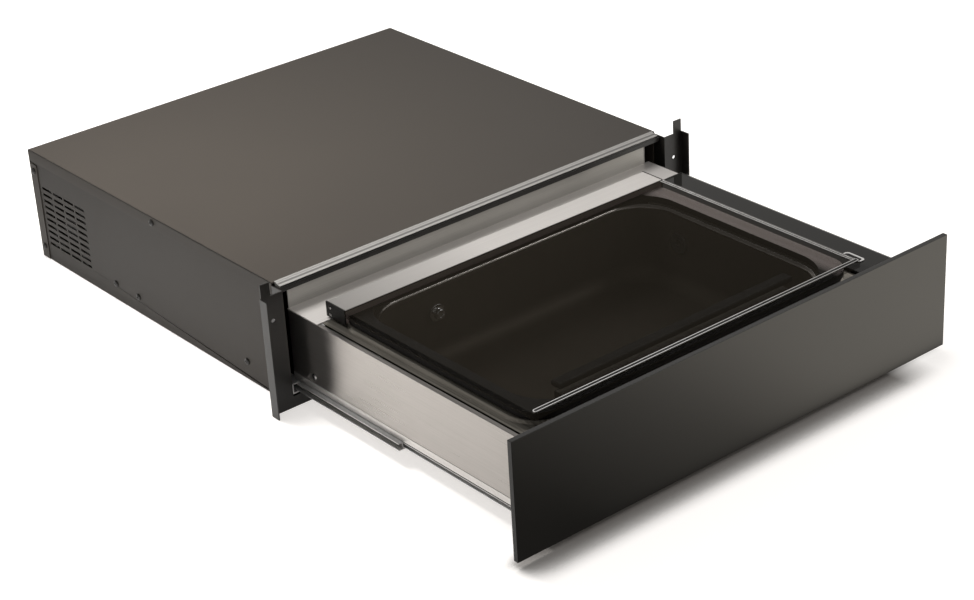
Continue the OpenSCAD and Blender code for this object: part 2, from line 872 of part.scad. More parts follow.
module lid_catch() {
  color(bright) difference() {
    rbox(lx1, lx1 + catch_w, ly0 + 2, ly0 + 2 + catch_l, lid_z - 5, lid_z - 5 + catch_t, 4);
    rbox(lx1 + catch_rim, lx1 + catch_w - catch_rim, ly0 + 2 + catch_rim, ly0 + 2 + catch_l - catch_rim,
         lid_z - 5 + catch_t / 2, lid_z - 5 + catch_t + e, catch_rim);
  }
}

// Seal bar

seal_top = fr_z1 - counter_h - seal_gap;
strip_t = 0.6;
post_top = seal_top - 5;
px = [seal_x0 + post_in, seal_x1 - post_in];

module seal_bar() {
  color(zinc) difference() {
    box(seal_x0, seal_x1, sy - seal_w / 2, sy + seal_w / 2,
        seal_top - strip_t - seal_h, seal_top - strip_t);
    for (x = px)
      translate([x, sy, seal_top - strip_t - seal_h - e])
        cylinder(h = seal_h - 3 + e, r = post_d / 2 + post_clear);
  }
}

module seal_strip() {
  color([0.80, 0.62, 0.38]) box(seal_x0, seal_x1, sy - seal_w / 2 + 2,
    sy + seal_w / 2 - 2, seal_top - strip_t, seal_top);
}

module seal_posts() {
  color(bright) for (x = px) translate([x, sy, tub_in_z]) {
    cylinder(h = post_top - tub_in_z - 2, r = post_d / 2);
    cylinder(h = 2, r = post_d);
  }
}

module vacuum_port() {
  color(zinc) difference() {
    union() {
      rod_x(tx1 - 2, tx1 + 14, port_y, port_z, port_r - 0.1);
      rod_x(tx1 - 2, tx1, port_y, port_z, port_flange);
    }
    rod_x(tx1 - 2 - e, tx1 + 14 + e, port_y, port_z, port_bore);
  }
}

st_l = 64;
st_w = 42;
st_h = 52;

module seal_transformer() {
  x0 = car_x - dsheet - 4 - st_w;
  y0 = console_y1 - 30 - st_l;
  z0 = car_z + dsheet;
  color(black) box(x0, x0 + st_w, y0, y0 + st_l, z0, z0 + 3);
  color(zinc) box(x0 + 4, x0 + st_w - 4, y0 + 8, y0 + st_l - 8, z0 + 3, z0 + st_h);
  color(copper) for (y = [y0 + 2, y0 + st_l - 8])
    box(x0 + 8, x0 + st_w - 8, y, y + 6, z0 + 10, z0 + st_h - 8);
}

rear_screw = 38;
front_screw = 30;

module drawer_screws() {
  color(bright) both() for (y = [back_y - rear_screw, front_y + front_screw]) difference() {
    rod_x(dx, dx + 1.4, y, band_top + 8, 3.6);
    rod_x(dx + 0.7, dx + 1.4 + e, y, band_top + 8, 1.6);
  }
}

// Machine space

cable_hole_w = 18;
cable_hole_z = 90;
cable_hole_h = 20;

module bulkhead() {
  color(zinc) difference() {
    union() {
      box(-ix, ix, wall_y, wall_y + wall_t, sheet, side_h - 2);
      box(-ix, ix, wall_y + wall_t, wall_y + 10, sheet, 2 * sheet);
    }
    rod_y(wall_y - e, wall_y + wall_t + e, 0, catch_z, plunger_d / 2 + 1);
    for (x = [-ix + cable_hole_w, ix - 2 * cable_hole_w])
      box(x, x + cable_hole_w, wall_y - e, wall_y + wall_t + e, cable_hole_z, cable_hole_z + cable_hole_h);
  }
}

catch_z = deck_z + plunger_d / 2 + 0.6;
catch_body_w = 30;
catch_body_h = 20;
catch_body_l = 40;
tip_gap = 0.5;

module push_catch_body() {
  color(black) difference() {
    union() {
      box(-catch_body_w / 2, catch_body_w / 2, wall_y + wall_t, wall_y + wall_t + catch_body_l,
          catch_z - catch_body_h / 2, catch_z + catch_body_h / 2);
      both() box(catch_body_w / 2, catch_body_w / 2 + 10, wall_y + wall_t, wall_y + wall_t + 3,
          catch_z - catch_body_h / 2, catch_z + catch_body_h / 2);
    }
    rod_y(wall_y, wall_y + wall_t + catch_body_l - 4, 0, catch_z, plunger_d / 2 + plunger_clear);
  }
}

module catch_plunger() {
  color(bright) rod_y(closed_back + tip_gap, wall_y + wall_t + catch_body_l - 6 - plunger_travel,
    0, catch_z, plunger_d / 2);
}

valve_w = 34;
valve_h = 30;
coil_h = 26;
coil_r = 13;
valve_cap = 5;
tr_w = 58;
pb_l = 84;
bay_gap = (2 * ix - fan_gap - fan_t - valve_w - motor_l - head_w - tr_w - pb_l) / 5;
valve_x = -ix + fan_gap + fan_t + bay_gap;
motor_x0 = valve_x + valve_w + bay_gap;
motor_x1 = motor_x0 + motor_l;
head_x1 = motor_x1 + head_w;
base_z = 12;
base_t = 2.5;
head_d = 56;
head_top = 24;
hose_r = 4.5;
hose_bend = 14;
hose_rise = 10;
hose_z = top_in - hose_gap - hose_r - hose_bend;
head_h = hose_z - hose_rise - base_z - base_t;
base_d = 80;
mount_r = 8;
mount_x = [motor_x0 + 14, head_x1 - 14];
mount_dy = 30;

module pump_motor() {
  color(black) {
    rod_x(motor_x0, motor_x1, my, pump_z, motor_d / 2);
    for (x = [motor_x0 + 16, motor_x1 - 24])
      box(x, x + 8, my - motor_d / 2 + 8, my + motor_d / 2 - 8, base_z + base_t, pump_z);
  }
  color(zinc) rod_x(motor_x0 - 6, motor_x0, my, pump_z, motor_d / 2 - 8);
}

fins = 5;

module pump_head() {
  color(zinc) {
    box(motor_x1, head_x1, my - head_d / 2, my + head_d / 2, base_z + base_t,
        base_z + base_t + head_h - head_top);
    for (i = [0 : fins - 1])
      box(motor_x1 + 4, head_x1 - 4, my - head_d / 2 - 3, my + head_d / 2 + 3,
          base_z + base_t + head_h - head_top + i * 5 + 1, base_z + base_t + head_h - head_top + i * 5 + 3);
    box(motor_x1 + 8, head_x1 - 8, my - head_d / 2 + 4, my + head_d / 2 - 4,
        base_z + base_t + head_h - head_top, base_z + base_t + head_h);
  }
}

module pump_base() {
  color(zinc) difference() {
    box(motor_x0, head_x1 + 4, my - base_d / 2, my + base_d / 2, base_z, base_z + base_t);
    for (x = mount_x, s = [-1, 1])
      translate([x, my + s * mount_dy, base_z - e]) cylinder(h = base_t + 2 * e, r = 3);
  }
}

module pump_mounts() {
  color(rubber) for (x = mount_x, s = [-1, 1]) translate([x, my + s * mount_dy, sheet]) {
    cylinder(h = base_z - sheet, r = mount_r);
    cylinder(h = base_z - sheet + base_t, r = 3);
  }
}

module solenoid_valve() {
  color(black) box(valve_x, valve_x + valve_w, my - 18, my + 18, sheet, sheet + valve_h);
  color(copper) translate([valve_x + valve_w / 2, my, sheet + valve_h]) cylinder(h = coil_h, r = coil_r);
  color(zinc) translate([valve_x + valve_w / 2, my, sheet + valve_h + coil_h])
    cylinder(h = valve_cap, r = valve_cap);
}

// the hose leaves the pump head upwards and comes down on the valve
module pump_hose() {
  hx0 = valve_x + valve_w / 2;
  hx1 = (motor_x1 + head_x1) / 2;
  zt = sheet + valve_h + coil_h + valve_cap;
  color(rubber) {
    translate([hx1, my, base_z + base_t + head_h]) cylinder(h = hose_z - base_z - base_t - head_h, r = hose_r);
    translate([hx1 - hose_bend, my, hose_z]) rotate([90, 0, 0]) rotate_extrude(angle = 90)
      translate([hose_bend, 0]) circle(r = hose_r);
    rod_x(hx0 + hose_bend, hx1 - hose_bend, my, hose_z + hose_bend, hose_r);
    translate([hx0 + hose_bend, my, hose_z]) rotate([90, 0, 0]) rotate([0, 0, 90]) rotate_extrude(angle = 90)
      translate([hose_bend, 0]) circle(r = hose_r);
    translate([hx0, my, zt]) cylinder(h = hose_z - zt, r = hose_r);
  }
}

tr_x = head_x1 + bay_gap;
tr_h = 60;
tr_d = 62;

module transformer() {
  color(black) box(tr_x - 5, tr_x + tr_w + 5, my - tr_d / 2, my + tr_d / 2, sheet, sheet + 3);
  color(zinc) box(tr_x, tr_x + tr_w, my - tr_d / 2 + 10, my + tr_d / 2 - 10, sheet + 3, sheet + tr_h);
  color(copper) for (y = [my - tr_d / 2 + 2, my + tr_d / 2 - 10])
    box(tr_x + 8, tr_x + tr_w - 8, y, y + 8, sheet + 12, sheet + tr_h - 10);
}

pb_x0 = tr_x + tr_w + bay_gap;
pb_d = 76;
pb_up = 8;
pb_in = 5;
relay_l = 30;
relay_d = 24;
cap_pitch = 20;
cap_r = 7;

module power_board() {
  color(green) {
    box(pb_x0, pb_x0 + pb_l, my - pb_d / 2, my + pb_d / 2, sheet + pb_up, sheet + pb_up + board_t);
    for (x = [pb_x0 + pb_in, pb_x0 + pb_l - pb_in], s = [-1, 1])
      translate([x, my + s * (pb_d / 2 - pb_in), sheet]) cylinder(h = pb_up, r = 3);
  }
  color(black) {
    box(pb_x0 + 2 * pb_in, pb_x0 + 2 * pb_in + relay_l, my - 4 - relay_d, my - 4, sheet + pb_up + board_t,
        sheet + pb_up + relay_d);
    for (i = [0 : 2]) translate([pb_x0 + 2 * cap_r + i * cap_pitch, my + cap_pitch, sheet + pb_up + board_t])
      cylinder(h = relay_d, r = cap_r);
  }
  color(zinc) box(pb_x0 + 3 * pb_in + relay_l, pb_x0 + 4 * pb_in + relay_l, my - 4 - relay_d, my - 4,
    sheet + pb_up + board_t, sheet + pb_up + relay_l);
}

fan_x1 = -ix + fan_gap + fan_t;
fan_y = vent_end - 2 * slot_pitch_y + 2;
fan_z = slot_z + slot_pitch_z * (vent_rows - 1) / 2;
fan_r = fan_size / 2 - 3;
hub_r = 15;
shaft_r = 2;
shaft_clear = 0.06;
tip_clear = 1;
strut = 4;

module fan_housing() {
  color(black) {
    difference() {
      box(-ix + fan_gap, fan_x1, fan_y - fan_size / 2, fan_y + fan_size / 2, fan_z - fan_size / 2,
          fan_z + fan_size / 2);
      rod_x(-ix, fan_x1 + e, fan_y, fan_z, fan_r);
    }
    rod_x(fan_x1 - 4, fan_x1 - 1, fan_y, fan_z, hub_r);
    rod_x(-ix + fan_gap + 1 + 2.5, fan_x1 - 4, fan_y, fan_z, shaft_r - shaft_clear);
    box(fan_x1 - 4, fan_x1 - 1, fan_y - fan_r - 1, fan_y + fan_r + 1, fan_z - strut / 2, fan_z + strut / 2);
    box(fan_x1 - 4, fan_x1 - 1, fan_y - strut / 2, fan_y + strut / 2, fan_z - fan_r - 1, fan_z + fan_r + 1);
    for (s = [-1, 1]) box(-ix, -ix + fan_gap, fan_y + s * (fan_size / 2 - 5) - 3,
      fan_y + s * (fan_size / 2 - 5) + 3, fan_z - fan_size / 2, fan_z - fan_size / 2 + 8);
  }
}

blade_t = 1.6;
blade_w = 15;

module fan_rotor() {
  rx0 = -ix + fan_gap + 1;
  rx1 = fan_x1 - 5;
  color(black) difference() {
    union() {
      rod_x(rx0, rx1, fan_y, fan_z, hub_r);
      intersection() {
        rod_x(rx0, rx1, fan_y, fan_z, fan_r - tip_clear);
        for (i = [0 : fan_blades - 1])
          translate([(rx0 + rx1) / 2, fan_y, fan_z]) rotate([i * 360 / fan_blades, 0, 0])
            rotate([0, 0, 40]) translate([-blade_w / 2, -blade_t / 2, hub_r - 2])
              cube([blade_w, blade_t, fan_r]);
      }
    }
    rod_x(rx0 + 2, rx1 + e, fan_y, fan_z, shaft_r);
  }
}

module mains_inlet() {
  color(black) difference() {
    union() {
      box(inlet_x - inlet_w / 2 + 0.2, inlet_x + inlet_w / 2 - 0.2, rear_in - inlet_d, casing_d,
          inlet_z - inlet_h / 2 + 0.2, inlet_z + inlet_h / 2 - 0.2);
      box(inlet_x - inlet_w / 2 - inlet_lip, inlet_x + inlet_w / 2 + inlet_lip, rear_in - 2, rear_in,
          inlet_z - inlet_h / 2 - inlet_lip, inlet_z + inlet_h / 2 + inlet_lip);
    }
    box(inlet_x - inlet_w / 2 + 2.5, inlet_x + inlet_w / 2 - 2.5, rear_in - inlet_d + 5, casing_d + e,
        inlet_z - inlet_h / 2 + 2.5, inlet_z + inlet_h / 2 - 2.5);
  }
  color(bright) for (p = [[-7, -2], [0, 3], [7, -2]])
    rod_y(rear_in - inlet_d + 5, rear_in - 4, inlet_x + p[0], inlet_z + p[1], 1.6);
}

casing_tray();
top_cover();
rear_cover();
front_top_rail();
top_trim_strip();
front_lower_rail();
side(-1) bracket();  // bracket_left
side(1) bracket();  // bracket_right
casing_screws();
side(-1) slide_outer();  // slide_outer_left
side(1) slide_outer();  // slide_outer_right
bulkhead();
pump_head();
pump_motor();
pump_base();
pump_mounts();
solenoid_valve();
pump_hose();
transformer();
power_board();
fan_housing();
mains_inlet();
push_catch_body();
fan_rotor();
catch_plunger();
side(-1) slide_mid();  // slide_mid_left
side(1) slide_mid();  // slide_mid_right
drawer_carrier();
side(-1) drawer_side();  // drawer_side_left
side(1) drawer_side();  // drawer_side_right
drawer_back();
rear_deck();
chamber_tub();
front_panel();
panel_backing();
side(-1) slide_inner();  // slide_inner_left
side(1) slide_inner();  // slide_inner_right
control_glass();
console_housing();
control_board();
hinge_brackets();
hinge_pins();
vacuum_port();
seal_transformer();
seal_posts();
drawer_screws();
seal_bar();
seal_strip();
lid_frame();
lid_glass();
lid_rear_cover();
lid_end_caps();
lid_cap_screws();
lid_hinge_arms();
lid_gasket();
counter_bar();
lid_front_trim();
lid_side_trim();
lid_catch();
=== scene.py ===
import json
import math
import bpy
from mathutils import Matrix, Vector


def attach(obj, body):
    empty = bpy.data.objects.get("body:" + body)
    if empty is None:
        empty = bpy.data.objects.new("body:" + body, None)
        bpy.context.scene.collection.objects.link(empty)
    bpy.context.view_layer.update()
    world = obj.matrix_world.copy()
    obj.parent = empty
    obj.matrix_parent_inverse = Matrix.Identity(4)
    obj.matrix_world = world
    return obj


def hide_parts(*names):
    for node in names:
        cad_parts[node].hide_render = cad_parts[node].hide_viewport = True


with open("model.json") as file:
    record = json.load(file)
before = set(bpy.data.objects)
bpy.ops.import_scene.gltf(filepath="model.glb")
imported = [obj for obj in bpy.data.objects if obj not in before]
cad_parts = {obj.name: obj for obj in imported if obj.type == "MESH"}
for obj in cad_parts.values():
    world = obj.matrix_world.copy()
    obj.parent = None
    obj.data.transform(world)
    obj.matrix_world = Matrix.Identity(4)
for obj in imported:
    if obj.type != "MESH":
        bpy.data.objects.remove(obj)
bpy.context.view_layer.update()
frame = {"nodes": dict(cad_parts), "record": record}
MM = 0.001

# Places of the solids in millimetres: x to the right, y to the rear and z up

CASING_SIDE = 270
CASING_TOP = 140
CASING_REAR = 500
TRAY_SIDE = 269
STRIP_FRONT = -9.7
STRIP_GROOVE = (-7.6, -2.1)
BRACKET_SIDE = 297
BRACKET_BEND = -16.5
DRAWER_SIDE = 256
DRAWER_TOP = 106
UPSTAND_FRONT = -5.4
UPSTAND_FOOT = 107.4
SLIDE_RACE = (16.5, 26.5)
CONSOLE_EDGES = (255.4, -59)
CHAMBER_TOP = 110
LID_TOP = 126
LID_COVER_REAR = -50
LID_BARE_SIDE = (172, 188)
LID_SIDE_GROOVE = (199, 203.2)
LID_BEAM_FRONT = -82
LID_BEAM_FOOT = 112
LID_BEAM_JOINT = (124, 124.6)


# Shader expressions


class Wire:
    """A node's output. Arithmetic on it adds Math nodes."""

    def __init__(self, nodes, socket):
        self.nodes = nodes
        self.socket = socket

    def math(self, operation, first, second):
        return self.nodes.add("ShaderNodeMath", {"operation": operation}, {0: first, 1: second})

    def __add__(self, other):
        return self.math("ADD", self, other)

    def __radd__(self, other):
        return self.math("ADD", other, self)

    def __sub__(self, other):
        return self.math("SUBTRACT", self, other)

    def __rsub__(self, other):
        return self.math("SUBTRACT", other, self)

    def __mul__(self, other):
        return self.math("MULTIPLY", self, other)

    def __rmul__(self, other):
        return self.math("MULTIPLY", other, self)

    def __truediv__(self, other):
        return self.math("DIVIDE", self, other)


def set_stops(ramp, stops):
    while len(ramp.elements) < len(stops):
        ramp.elements.new(0.5)
    for element, (at, grey) in zip(ramp.elements, stops):
        element.position = at
        element.color = (grey, grey, grey, 1)


class Nodes:
    """The nodes of a material or of the world."""

    def __init__(self, owner):
        owner.use_nodes = True
        self.tree = owner.node_tree
        self.tree.nodes.clear()

    def add(self, kind, settings=None, feeds=None, out=0):
        """A node by its type: its settings first, then the values or links of its sockets."""
        made = self.tree.nodes.new(kind)
        for key, value in (settings or {}).items():
            if key == "stops":
                set_stops(made.color_ramp, value)
            else:
                setattr(made, key, value)
        for key, value in (feeds or {}).items():
            if isinstance(value, Wire):
                self.tree.links.new(value.socket, made.inputs[key])
            else:
                made.inputs[key].default_value = value
        return Wire(self, made.outputs[out]) if made.outputs else None

    def ramp(self, value, stops):
        return self.add("ShaderNodeValToRGB", {"stops": stops}, {"Fac": value})

    def clamped(self, value):
        return self.add("ShaderNodeMath", {"operation": "ADD", "use_clamp": True},
                        {0: value, 1: 0.0})

    def tint(self, factor, dark, light):
        return self.add("ShaderNodeMix", {"data_type": "RGBA"}, {0: factor, 6: dark, 7: light}, 2)

    def part_of(self, vector, axis):
        return self.add("ShaderNodeSeparateXYZ", {}, {"Vector": vector}, axis)

    def ray_is(self, kind):
        """1 for a ray of this kind: Camera, Glossy or Transmission."""
        return self.add("ShaderNodeLightPath", out="Is %s Ray" % kind)


class Finish(Nodes):
    """A material made of nodes that read a place on the piece."""

    def __init__(self, name):
        self.material = bpy.data.materials.new(name)
        super().__init__(self.material)
        self.place = self.add("ShaderNodeTexCoord", out="Object")

    def along(self, axis):
        return self.part_of(self.place, axis)

    def share_along(self, axis, start, end):
        """0 at the start and 1 at the end of a stretch in millimetres, and on in line beyond."""
        return (self.along(axis) - start * MM) / ((end - start) * MM)

    def stretched(self, x, y, z):
        return self.add("ShaderNodeMapping", {}, {"Vector": self.place, "Scale": (x, y, z)})

    def noise(self, at, scale, detail=2.0, roughness=0.5):
        return self.add(
            "ShaderNodeTexNoise", {},
            {"Vector": at, "Scale": scale, "Detail": detail, "Roughness": roughness}, "Fac")

    def checker(self, scale):
        return self.add("ShaderNodeTexChecker", {}, {"Vector": self.place, "Scale": scale}, "Fac")

    def bump(self, height, strength, distance):
        return self.add("ShaderNodeBump", {},
                        {"Height": height, "Strength": strength, "Distance": distance})

    def surface(self, **sockets):
        feeds = {key.replace("_", " "): value for key, value in sockets.items()}
        return self.showing(self.add("ShaderNodeBsdfPrincipled", {}, feeds))

    def showing(self, shader):
        self.add("ShaderNodeOutputMaterial", {}, {"Surface": shader})
        return self.material


def rgb(red, green, blue):
    return (red, green, blue, 1.0)


def toned(colour, share):
    return tuple(share * part for part in colour[:3]) + (1.0,)


# Finishes


def powder_coat(name, dark, light, rough, shine=0.5, fade=None, share=1.0):
    """Coated sheet. A painted shade of x and y goes from 0, the full colour, to 1, the share of
    it: darker paint where less light falls.
    """
    f = Finish(name)
    grain = f.noise(f.place, 2600, 1)
    cloud = f.noise(f.place, 7, 3)
    colour = f.tint(cloud, dark, light)
    if fade:
        painted_shade_mask = f.clamped(fade(f.along("X"), f.along("Y")))
        colour = f.tint(painted_shade_mask, colour, toned(light, share))
    return f.surface(
        Base_Color=colour,
        Roughness=rough + 0.1 * (grain - 0.5) + 0.05 * (cloud - 0.5),
        Specular_IOR_Level=shine, Normal=f.bump(grain, 0.12, 0.0002))


def brushed_steel(name, stretch, dark, light, rough, metal, drawn=0.0, fade=None):
    """Steel with fine lines. A painted shade gives two x, and the share of the colour at the
    first, where the steel is darkest.
    """
    f = Finish(name)
    lines = f.noise(f.stretched(*stretch), 1, 3, 0.6)
    fine = f.noise(f.stretched(*[2.7 * v for v in stretch]), 1, 1)
    cloud = f.noise(f.place, 11, 2)
    tone = 0.45 * lines + 0.25 * fine + 0.3 * cloud
    colour = f.tint(f.ramp(tone, [(0.3, 0.0), (0.7, 1.0)]), dark, light)
    if fade:
        start, end, share = fade
        painted_lit_share = f.clamped(f.share_along("X", start, end))
        colour = f.tint(painted_lit_share, toned(dark, share), colour)
    return f.surface(
        Base_Color=colour,
        Metallic=metal,
        Roughness=rough + 0.12 * (lines - 0.5) + 0.06 * (cloud - 0.5),
        Anisotropic=drawn, Anisotropic_Rotation=0.25, Normal=f.bump(lines, 0.10, 0.0002))


def polished(name, dark, light, rough):
    f = Finish(name)
    haze = f.noise(f.place, 60, 2)
    return f.surface(
        Base_Color=f.tint(haze, dark, light), Metallic=1.0,
        Roughness=rough + 0.06 * haze)


def sheet_metal(name, dark, light, rough, metal=1.0):
    f = Finish(name)
    patch = f.add("ShaderNodeTexVoronoi", {}, {"Vector": f.place, "Scale": 90.0}, "Color")
    spangle = f.add("ShaderNodeSeparateColor", {}, {"Color": patch})
    cloud = f.noise(f.place, 14, 2)
    tone = 0.5 * spangle + 0.5 * cloud
    return f.surface(
        Base_Color=f.tint(tone, dark, light), Metallic=metal,
        Roughness=rough + 0.1 * spangle)


def cast_metal(name, dark, light):
    f = Finish(name)
    grit = f.noise(f.place, 900, 2)
    return f.surface(
        Base_Color=f.tint(grit, dark, light), Metallic=1.0,
        Roughness=0.38 + 0.15 * grit, Normal=f.bump(grit, 0.25, 0.0003))


def moulded_plastic(name, dark, light, rough, shine):
    f = Finish(name)
    grain = f.noise(f.place, 1500, 2)
    cloud = f.noise(f.place, 12, 2)
    return f.surface(
        Base_Color=f.tint(cloud, dark, light), Roughness=rough + 0.12 * (grain - 0.5),
        Specular_IOR_Level=shine, Normal=f.bump(grain, 0.15, 0.0002))


def rubber_skin(name):
    f = Finish(name)
    bloom = f.noise(f.place, 30, 3)
    grain = f.noise(f.place, 1200, 2)
    return f.surface(
        Base_Color=f.tint(bloom, rgb(0.012, 0.0105, 0.009), rgb(0.022, 0.0195, 0.017)),
        Roughness=0.55 + 0.12 * grain, Specular_IOR_Level=0.2,
        Normal=f.bump(grain, 0.2, 0.0002))


def race_metal(name):
    """A slide member's web: bright edges, and the race between them darkened as painted shade."""
    f = Finish(name)
    streaks = f.noise(f.stretched(60, 9, 60), 1, 2)
    race = f.ramp(f.share_along("Z", *SLIDE_RACE),
                  [(0.06, 0.0), (0.14, 1.0), (0.70, 1.0), (0.78, 0.0)])
    return f.surface(
        Base_Color=f.tint(race * (0.85 + 0.15 * streaks),
                          rgb(0.66, 0.645, 0.625), rgb(0.17, 0.16, 0.148)),
        Metallic=0.85, Roughness=0.30 + 0.10 * streaks)


def board_lacquer(name):
    f = Finish(name)
    weave = f.checker(700.0)
    tracks = f.noise(f.stretched(300, 60, 60), 1, 1)
    mask = f.ramp(tracks, [(0.52, 0.0), (0.56, 1.0)])
    return f.surface(
        Base_Color=f.tint(mask, rgb(0.010, 0.075, 0.030), rgb(0.035, 0.150, 0.055)),
        Roughness=0.3 + 0.08 * weave)


def woven_tape(name):
    f = Finish(name)
    weave = f.checker(1400.0)
    cloud = f.noise(f.place, 60, 2)
    return f.surface(
        Base_Color=f.tint(0.6 * cloud + 0.3 * weave,
                          rgb(0.035, 0.028, 0.020), rgb(0.065, 0.052, 0.038)),
        Roughness=0.5, Normal=f.bump(weave, 0.2, 0.0001))


def laminated_core(name):
    f = Finish(name)
    leaves = f.add("ShaderNodeTexWave", {"bands_direction": "X"},
                   {"Vector": f.place, "Scale": 300.0}, "Fac")
    return f.surface(
        Base_Color=f.tint(leaves, rgb(0.10, 0.10, 0.11), rgb(0.24, 0.24, 0.25)), Metallic=1.0,
        Roughness=0.45 + 0.1 * leaves, Normal=f.bump(leaves, 0.4, 0.0002))


def tinted_glass(name, colour, rough, cover, shine):
    """Glass that covers what is behind it by a share. No shine means no mirror image on it."""
    f = Finish(name)
    haze = f.noise(f.place, 5, 3)
    return f.surface(
        Base_Color=f.tint(haze, colour, toned(colour, 1.25)),
        Roughness=rough + 0.02 * haze, Alpha=cover, Specular_IOR_Level=shine)


def lacquered_front(name, dark, light):
    f = Finish(name)
    grain = f.noise(f.place, 1800, 2)
    cloud = f.noise(f.place, 5, 3)
    return f.surface(
        Base_Color=f.tint(cloud, dark, light), Roughness=0.40 + 0.08 * (grain - 0.5),
        Specular_IOR_Level=0.4, Normal=f.bump(grain, 0.05, 0.0002))


def cross_drawn_steel(name):
    f = Finish(name)
    drawn = f.noise(f.stretched(160, 5, 60), 1, 3)
    cloud = f.noise(f.place, 9, 2)
    return f.surface(
        Base_Color=f.tint(0.5 * drawn + 0.5 * cloud,
                          rgb(0.50, 0.465, 0.43), rgb(0.60, 0.565, 0.53)),
        Metallic=1.0, Roughness=0.17 + 0.1 * drawn, Normal=f.bump(drawn, 0.04, 0.0001))


def rolled_steel(name):
    """Sheet brushed from back to front, with enough scatter to read as satin. Its dark colour and
    strong streaks are partly the brushed grain and partly painted reflection.
    """
    f = Finish(name)
    lines = f.noise(f.stretched(420, 3, 420), 1, 3, 0.6)
    cloud = f.noise(f.place, 10, 2)
    tone = f.ramp(0.75 * lines + 0.25 * cloud, [(0.36, 0.0), (0.62, 1.0)])
    return f.surface(
        Base_Color=f.tint(tone, rgb(0.17, 0.155, 0.128), rgb(0.40, 0.37, 0.32)),
        Metallic=0.88, Roughness=0.30 + 0.12 * (lines - 0.5),
        Normal=f.bump(lines, 0.05, 0.0002))


def chamber_satin(name):
    """The deep drawn bowl: dull satin, coloured dark brown as painted shade under the lid."""
    f = Finish(name)
    drawn = f.noise(f.stretched(40, 8, 20), 1, 2)
    return f.surface(
        Base_Color=f.tint(drawn, rgb(0.116, 0.098, 0.079), rgb(0.143, 0.122, 0.098)),
        Metallic=0.80, Roughness=0.56 + 0.08 * drawn)


def frame_face(name):
    """The lid frame's upper face: black, and bare metal along the control side."""
    f = Finish(name)
    cloud = f.noise(f.stretched(400, 30, 30), 1, 2)
    bare = f.clamped(f.share_along("X", *LID_BARE_SIDE))
    metal = f.tint(cloud, rgb(0.50, 0.43, 0.40), rgb(0.62, 0.54, 0.51))
    return f.surface(
        Base_Color=f.tint(bare, rgb(0.006, 0.0054, 0.0047), metal), Metallic=0.6 * bare,
        Roughness=0.42 + 0.06 * cloud, Specular_IOR_Level=0.25)


def beam_face(name):
    """The front of the lid's rear beam, seen through the glass: bronze under a dark joint."""
    f = Finish(name)
    cloud = f.noise(f.stretched(20, 200, 200), 1, 2)
    bronze = f.tint(cloud, rgb(0.27, 0.218, 0.20), rgb(0.34, 0.275, 0.255))
    joint = f.clamped(f.share_along("Z", *LID_BEAM_JOINT))
    return f.surface(
        Base_Color=f.tint(joint, bronze, rgb(0.012, 0.011, 0.010)),
        Roughness=0.42 + 0.06 * cloud, Metallic=0.3)


def grooved_alloy(name):
    """The top strip's face: two raised edges painted bright as painted highlights, and a groove
    between them painted darker, partly its duller finish and partly painted shade.
    """
    f = Finish(name)
    painted_rib_highlights = f.ramp(f.share_along("Y", *STRIP_GROOVE),
                  [(0.14, 1.0), (0.30, 0.0), (0.60, 0.0), (0.76, 1.0)])
    return f.surface(
        Base_Color=f.tint(painted_rib_highlights, rgb(0.125, 0.119, 0.112), rgb(0.34, 0.327, 0.308)),
        Metallic=0.3, Roughness=0.48 + 0.06 * painted_rib_highlights)


ALONG_Y = (900, 7, 900)
ALONG_X = (7, 900, 900)
FINISH = {}


def keep(make, name, *values, **more):
    """Makes a finish and keeps it under its name."""
    FINISH[name] = make(name, *values, **more)


# The casing's paint is darkened to the front right, and its tray's to the rear, as painted shade
keep(powder_coat, "casing_paint", rgb(0.034, 0.0285, 0.0235), rgb(0.042, 0.0355, 0.029),
     0.5, 0.25, fade=lambda x, y: 2.1 * (x + 0.2) * (1 - 1.2 * y), share=0.74)
keep(powder_coat, "tray_paint", rgb(0.037, 0.031, 0.0255), rgb(0.044, 0.037, 0.0305),
     0.5, 0.25, fade=lambda x, y: 2 * y, share=0.55)
keep(powder_coat, "black_paint", rgb(0.0075, 0.0066, 0.0056), rgb(0.0105, 0.0094, 0.008),
     0.33, 0.55)
keep(sheet_metal, "zinc", rgb(0.55, 0.545, 0.54), rgb(0.70, 0.695, 0.685), 0.28, 0.75)
keep(sheet_metal, "zinc_light", rgb(0.66, 0.635, 0.61), rgb(0.76, 0.735, 0.71), 0.30, 0.88)
keep(brushed_steel, "brushed", ALONG_Y, rgb(0.50, 0.465, 0.43), rgb(0.61, 0.575, 0.54),
     0.21, 0.9)
keep(brushed_steel, "brushed_side", ALONG_Y, rgb(0.42, 0.395, 0.37), rgb(0.515, 0.485, 0.46),
     0.30, 0.95, 0.85)
keep(brushed_steel, "brushed_across", ALONG_X, rgb(0.52, 0.49, 0.46), rgb(0.63, 0.60, 0.57),
     0.40, 0.45)
keep(cross_drawn_steel, "tub_steel")
keep(race_metal, "slide_race")
keep(rolled_steel, "rolled_steel")
keep(chamber_satin, "chamber_satin")
keep(polished, "bright_trim", rgb(0.66, 0.655, 0.65), rgb(0.75, 0.745, 0.74), 0.10)
keep(polished, "soft_trim", rgb(0.46, 0.455, 0.45), rgb(0.55, 0.545, 0.54), 0.16)
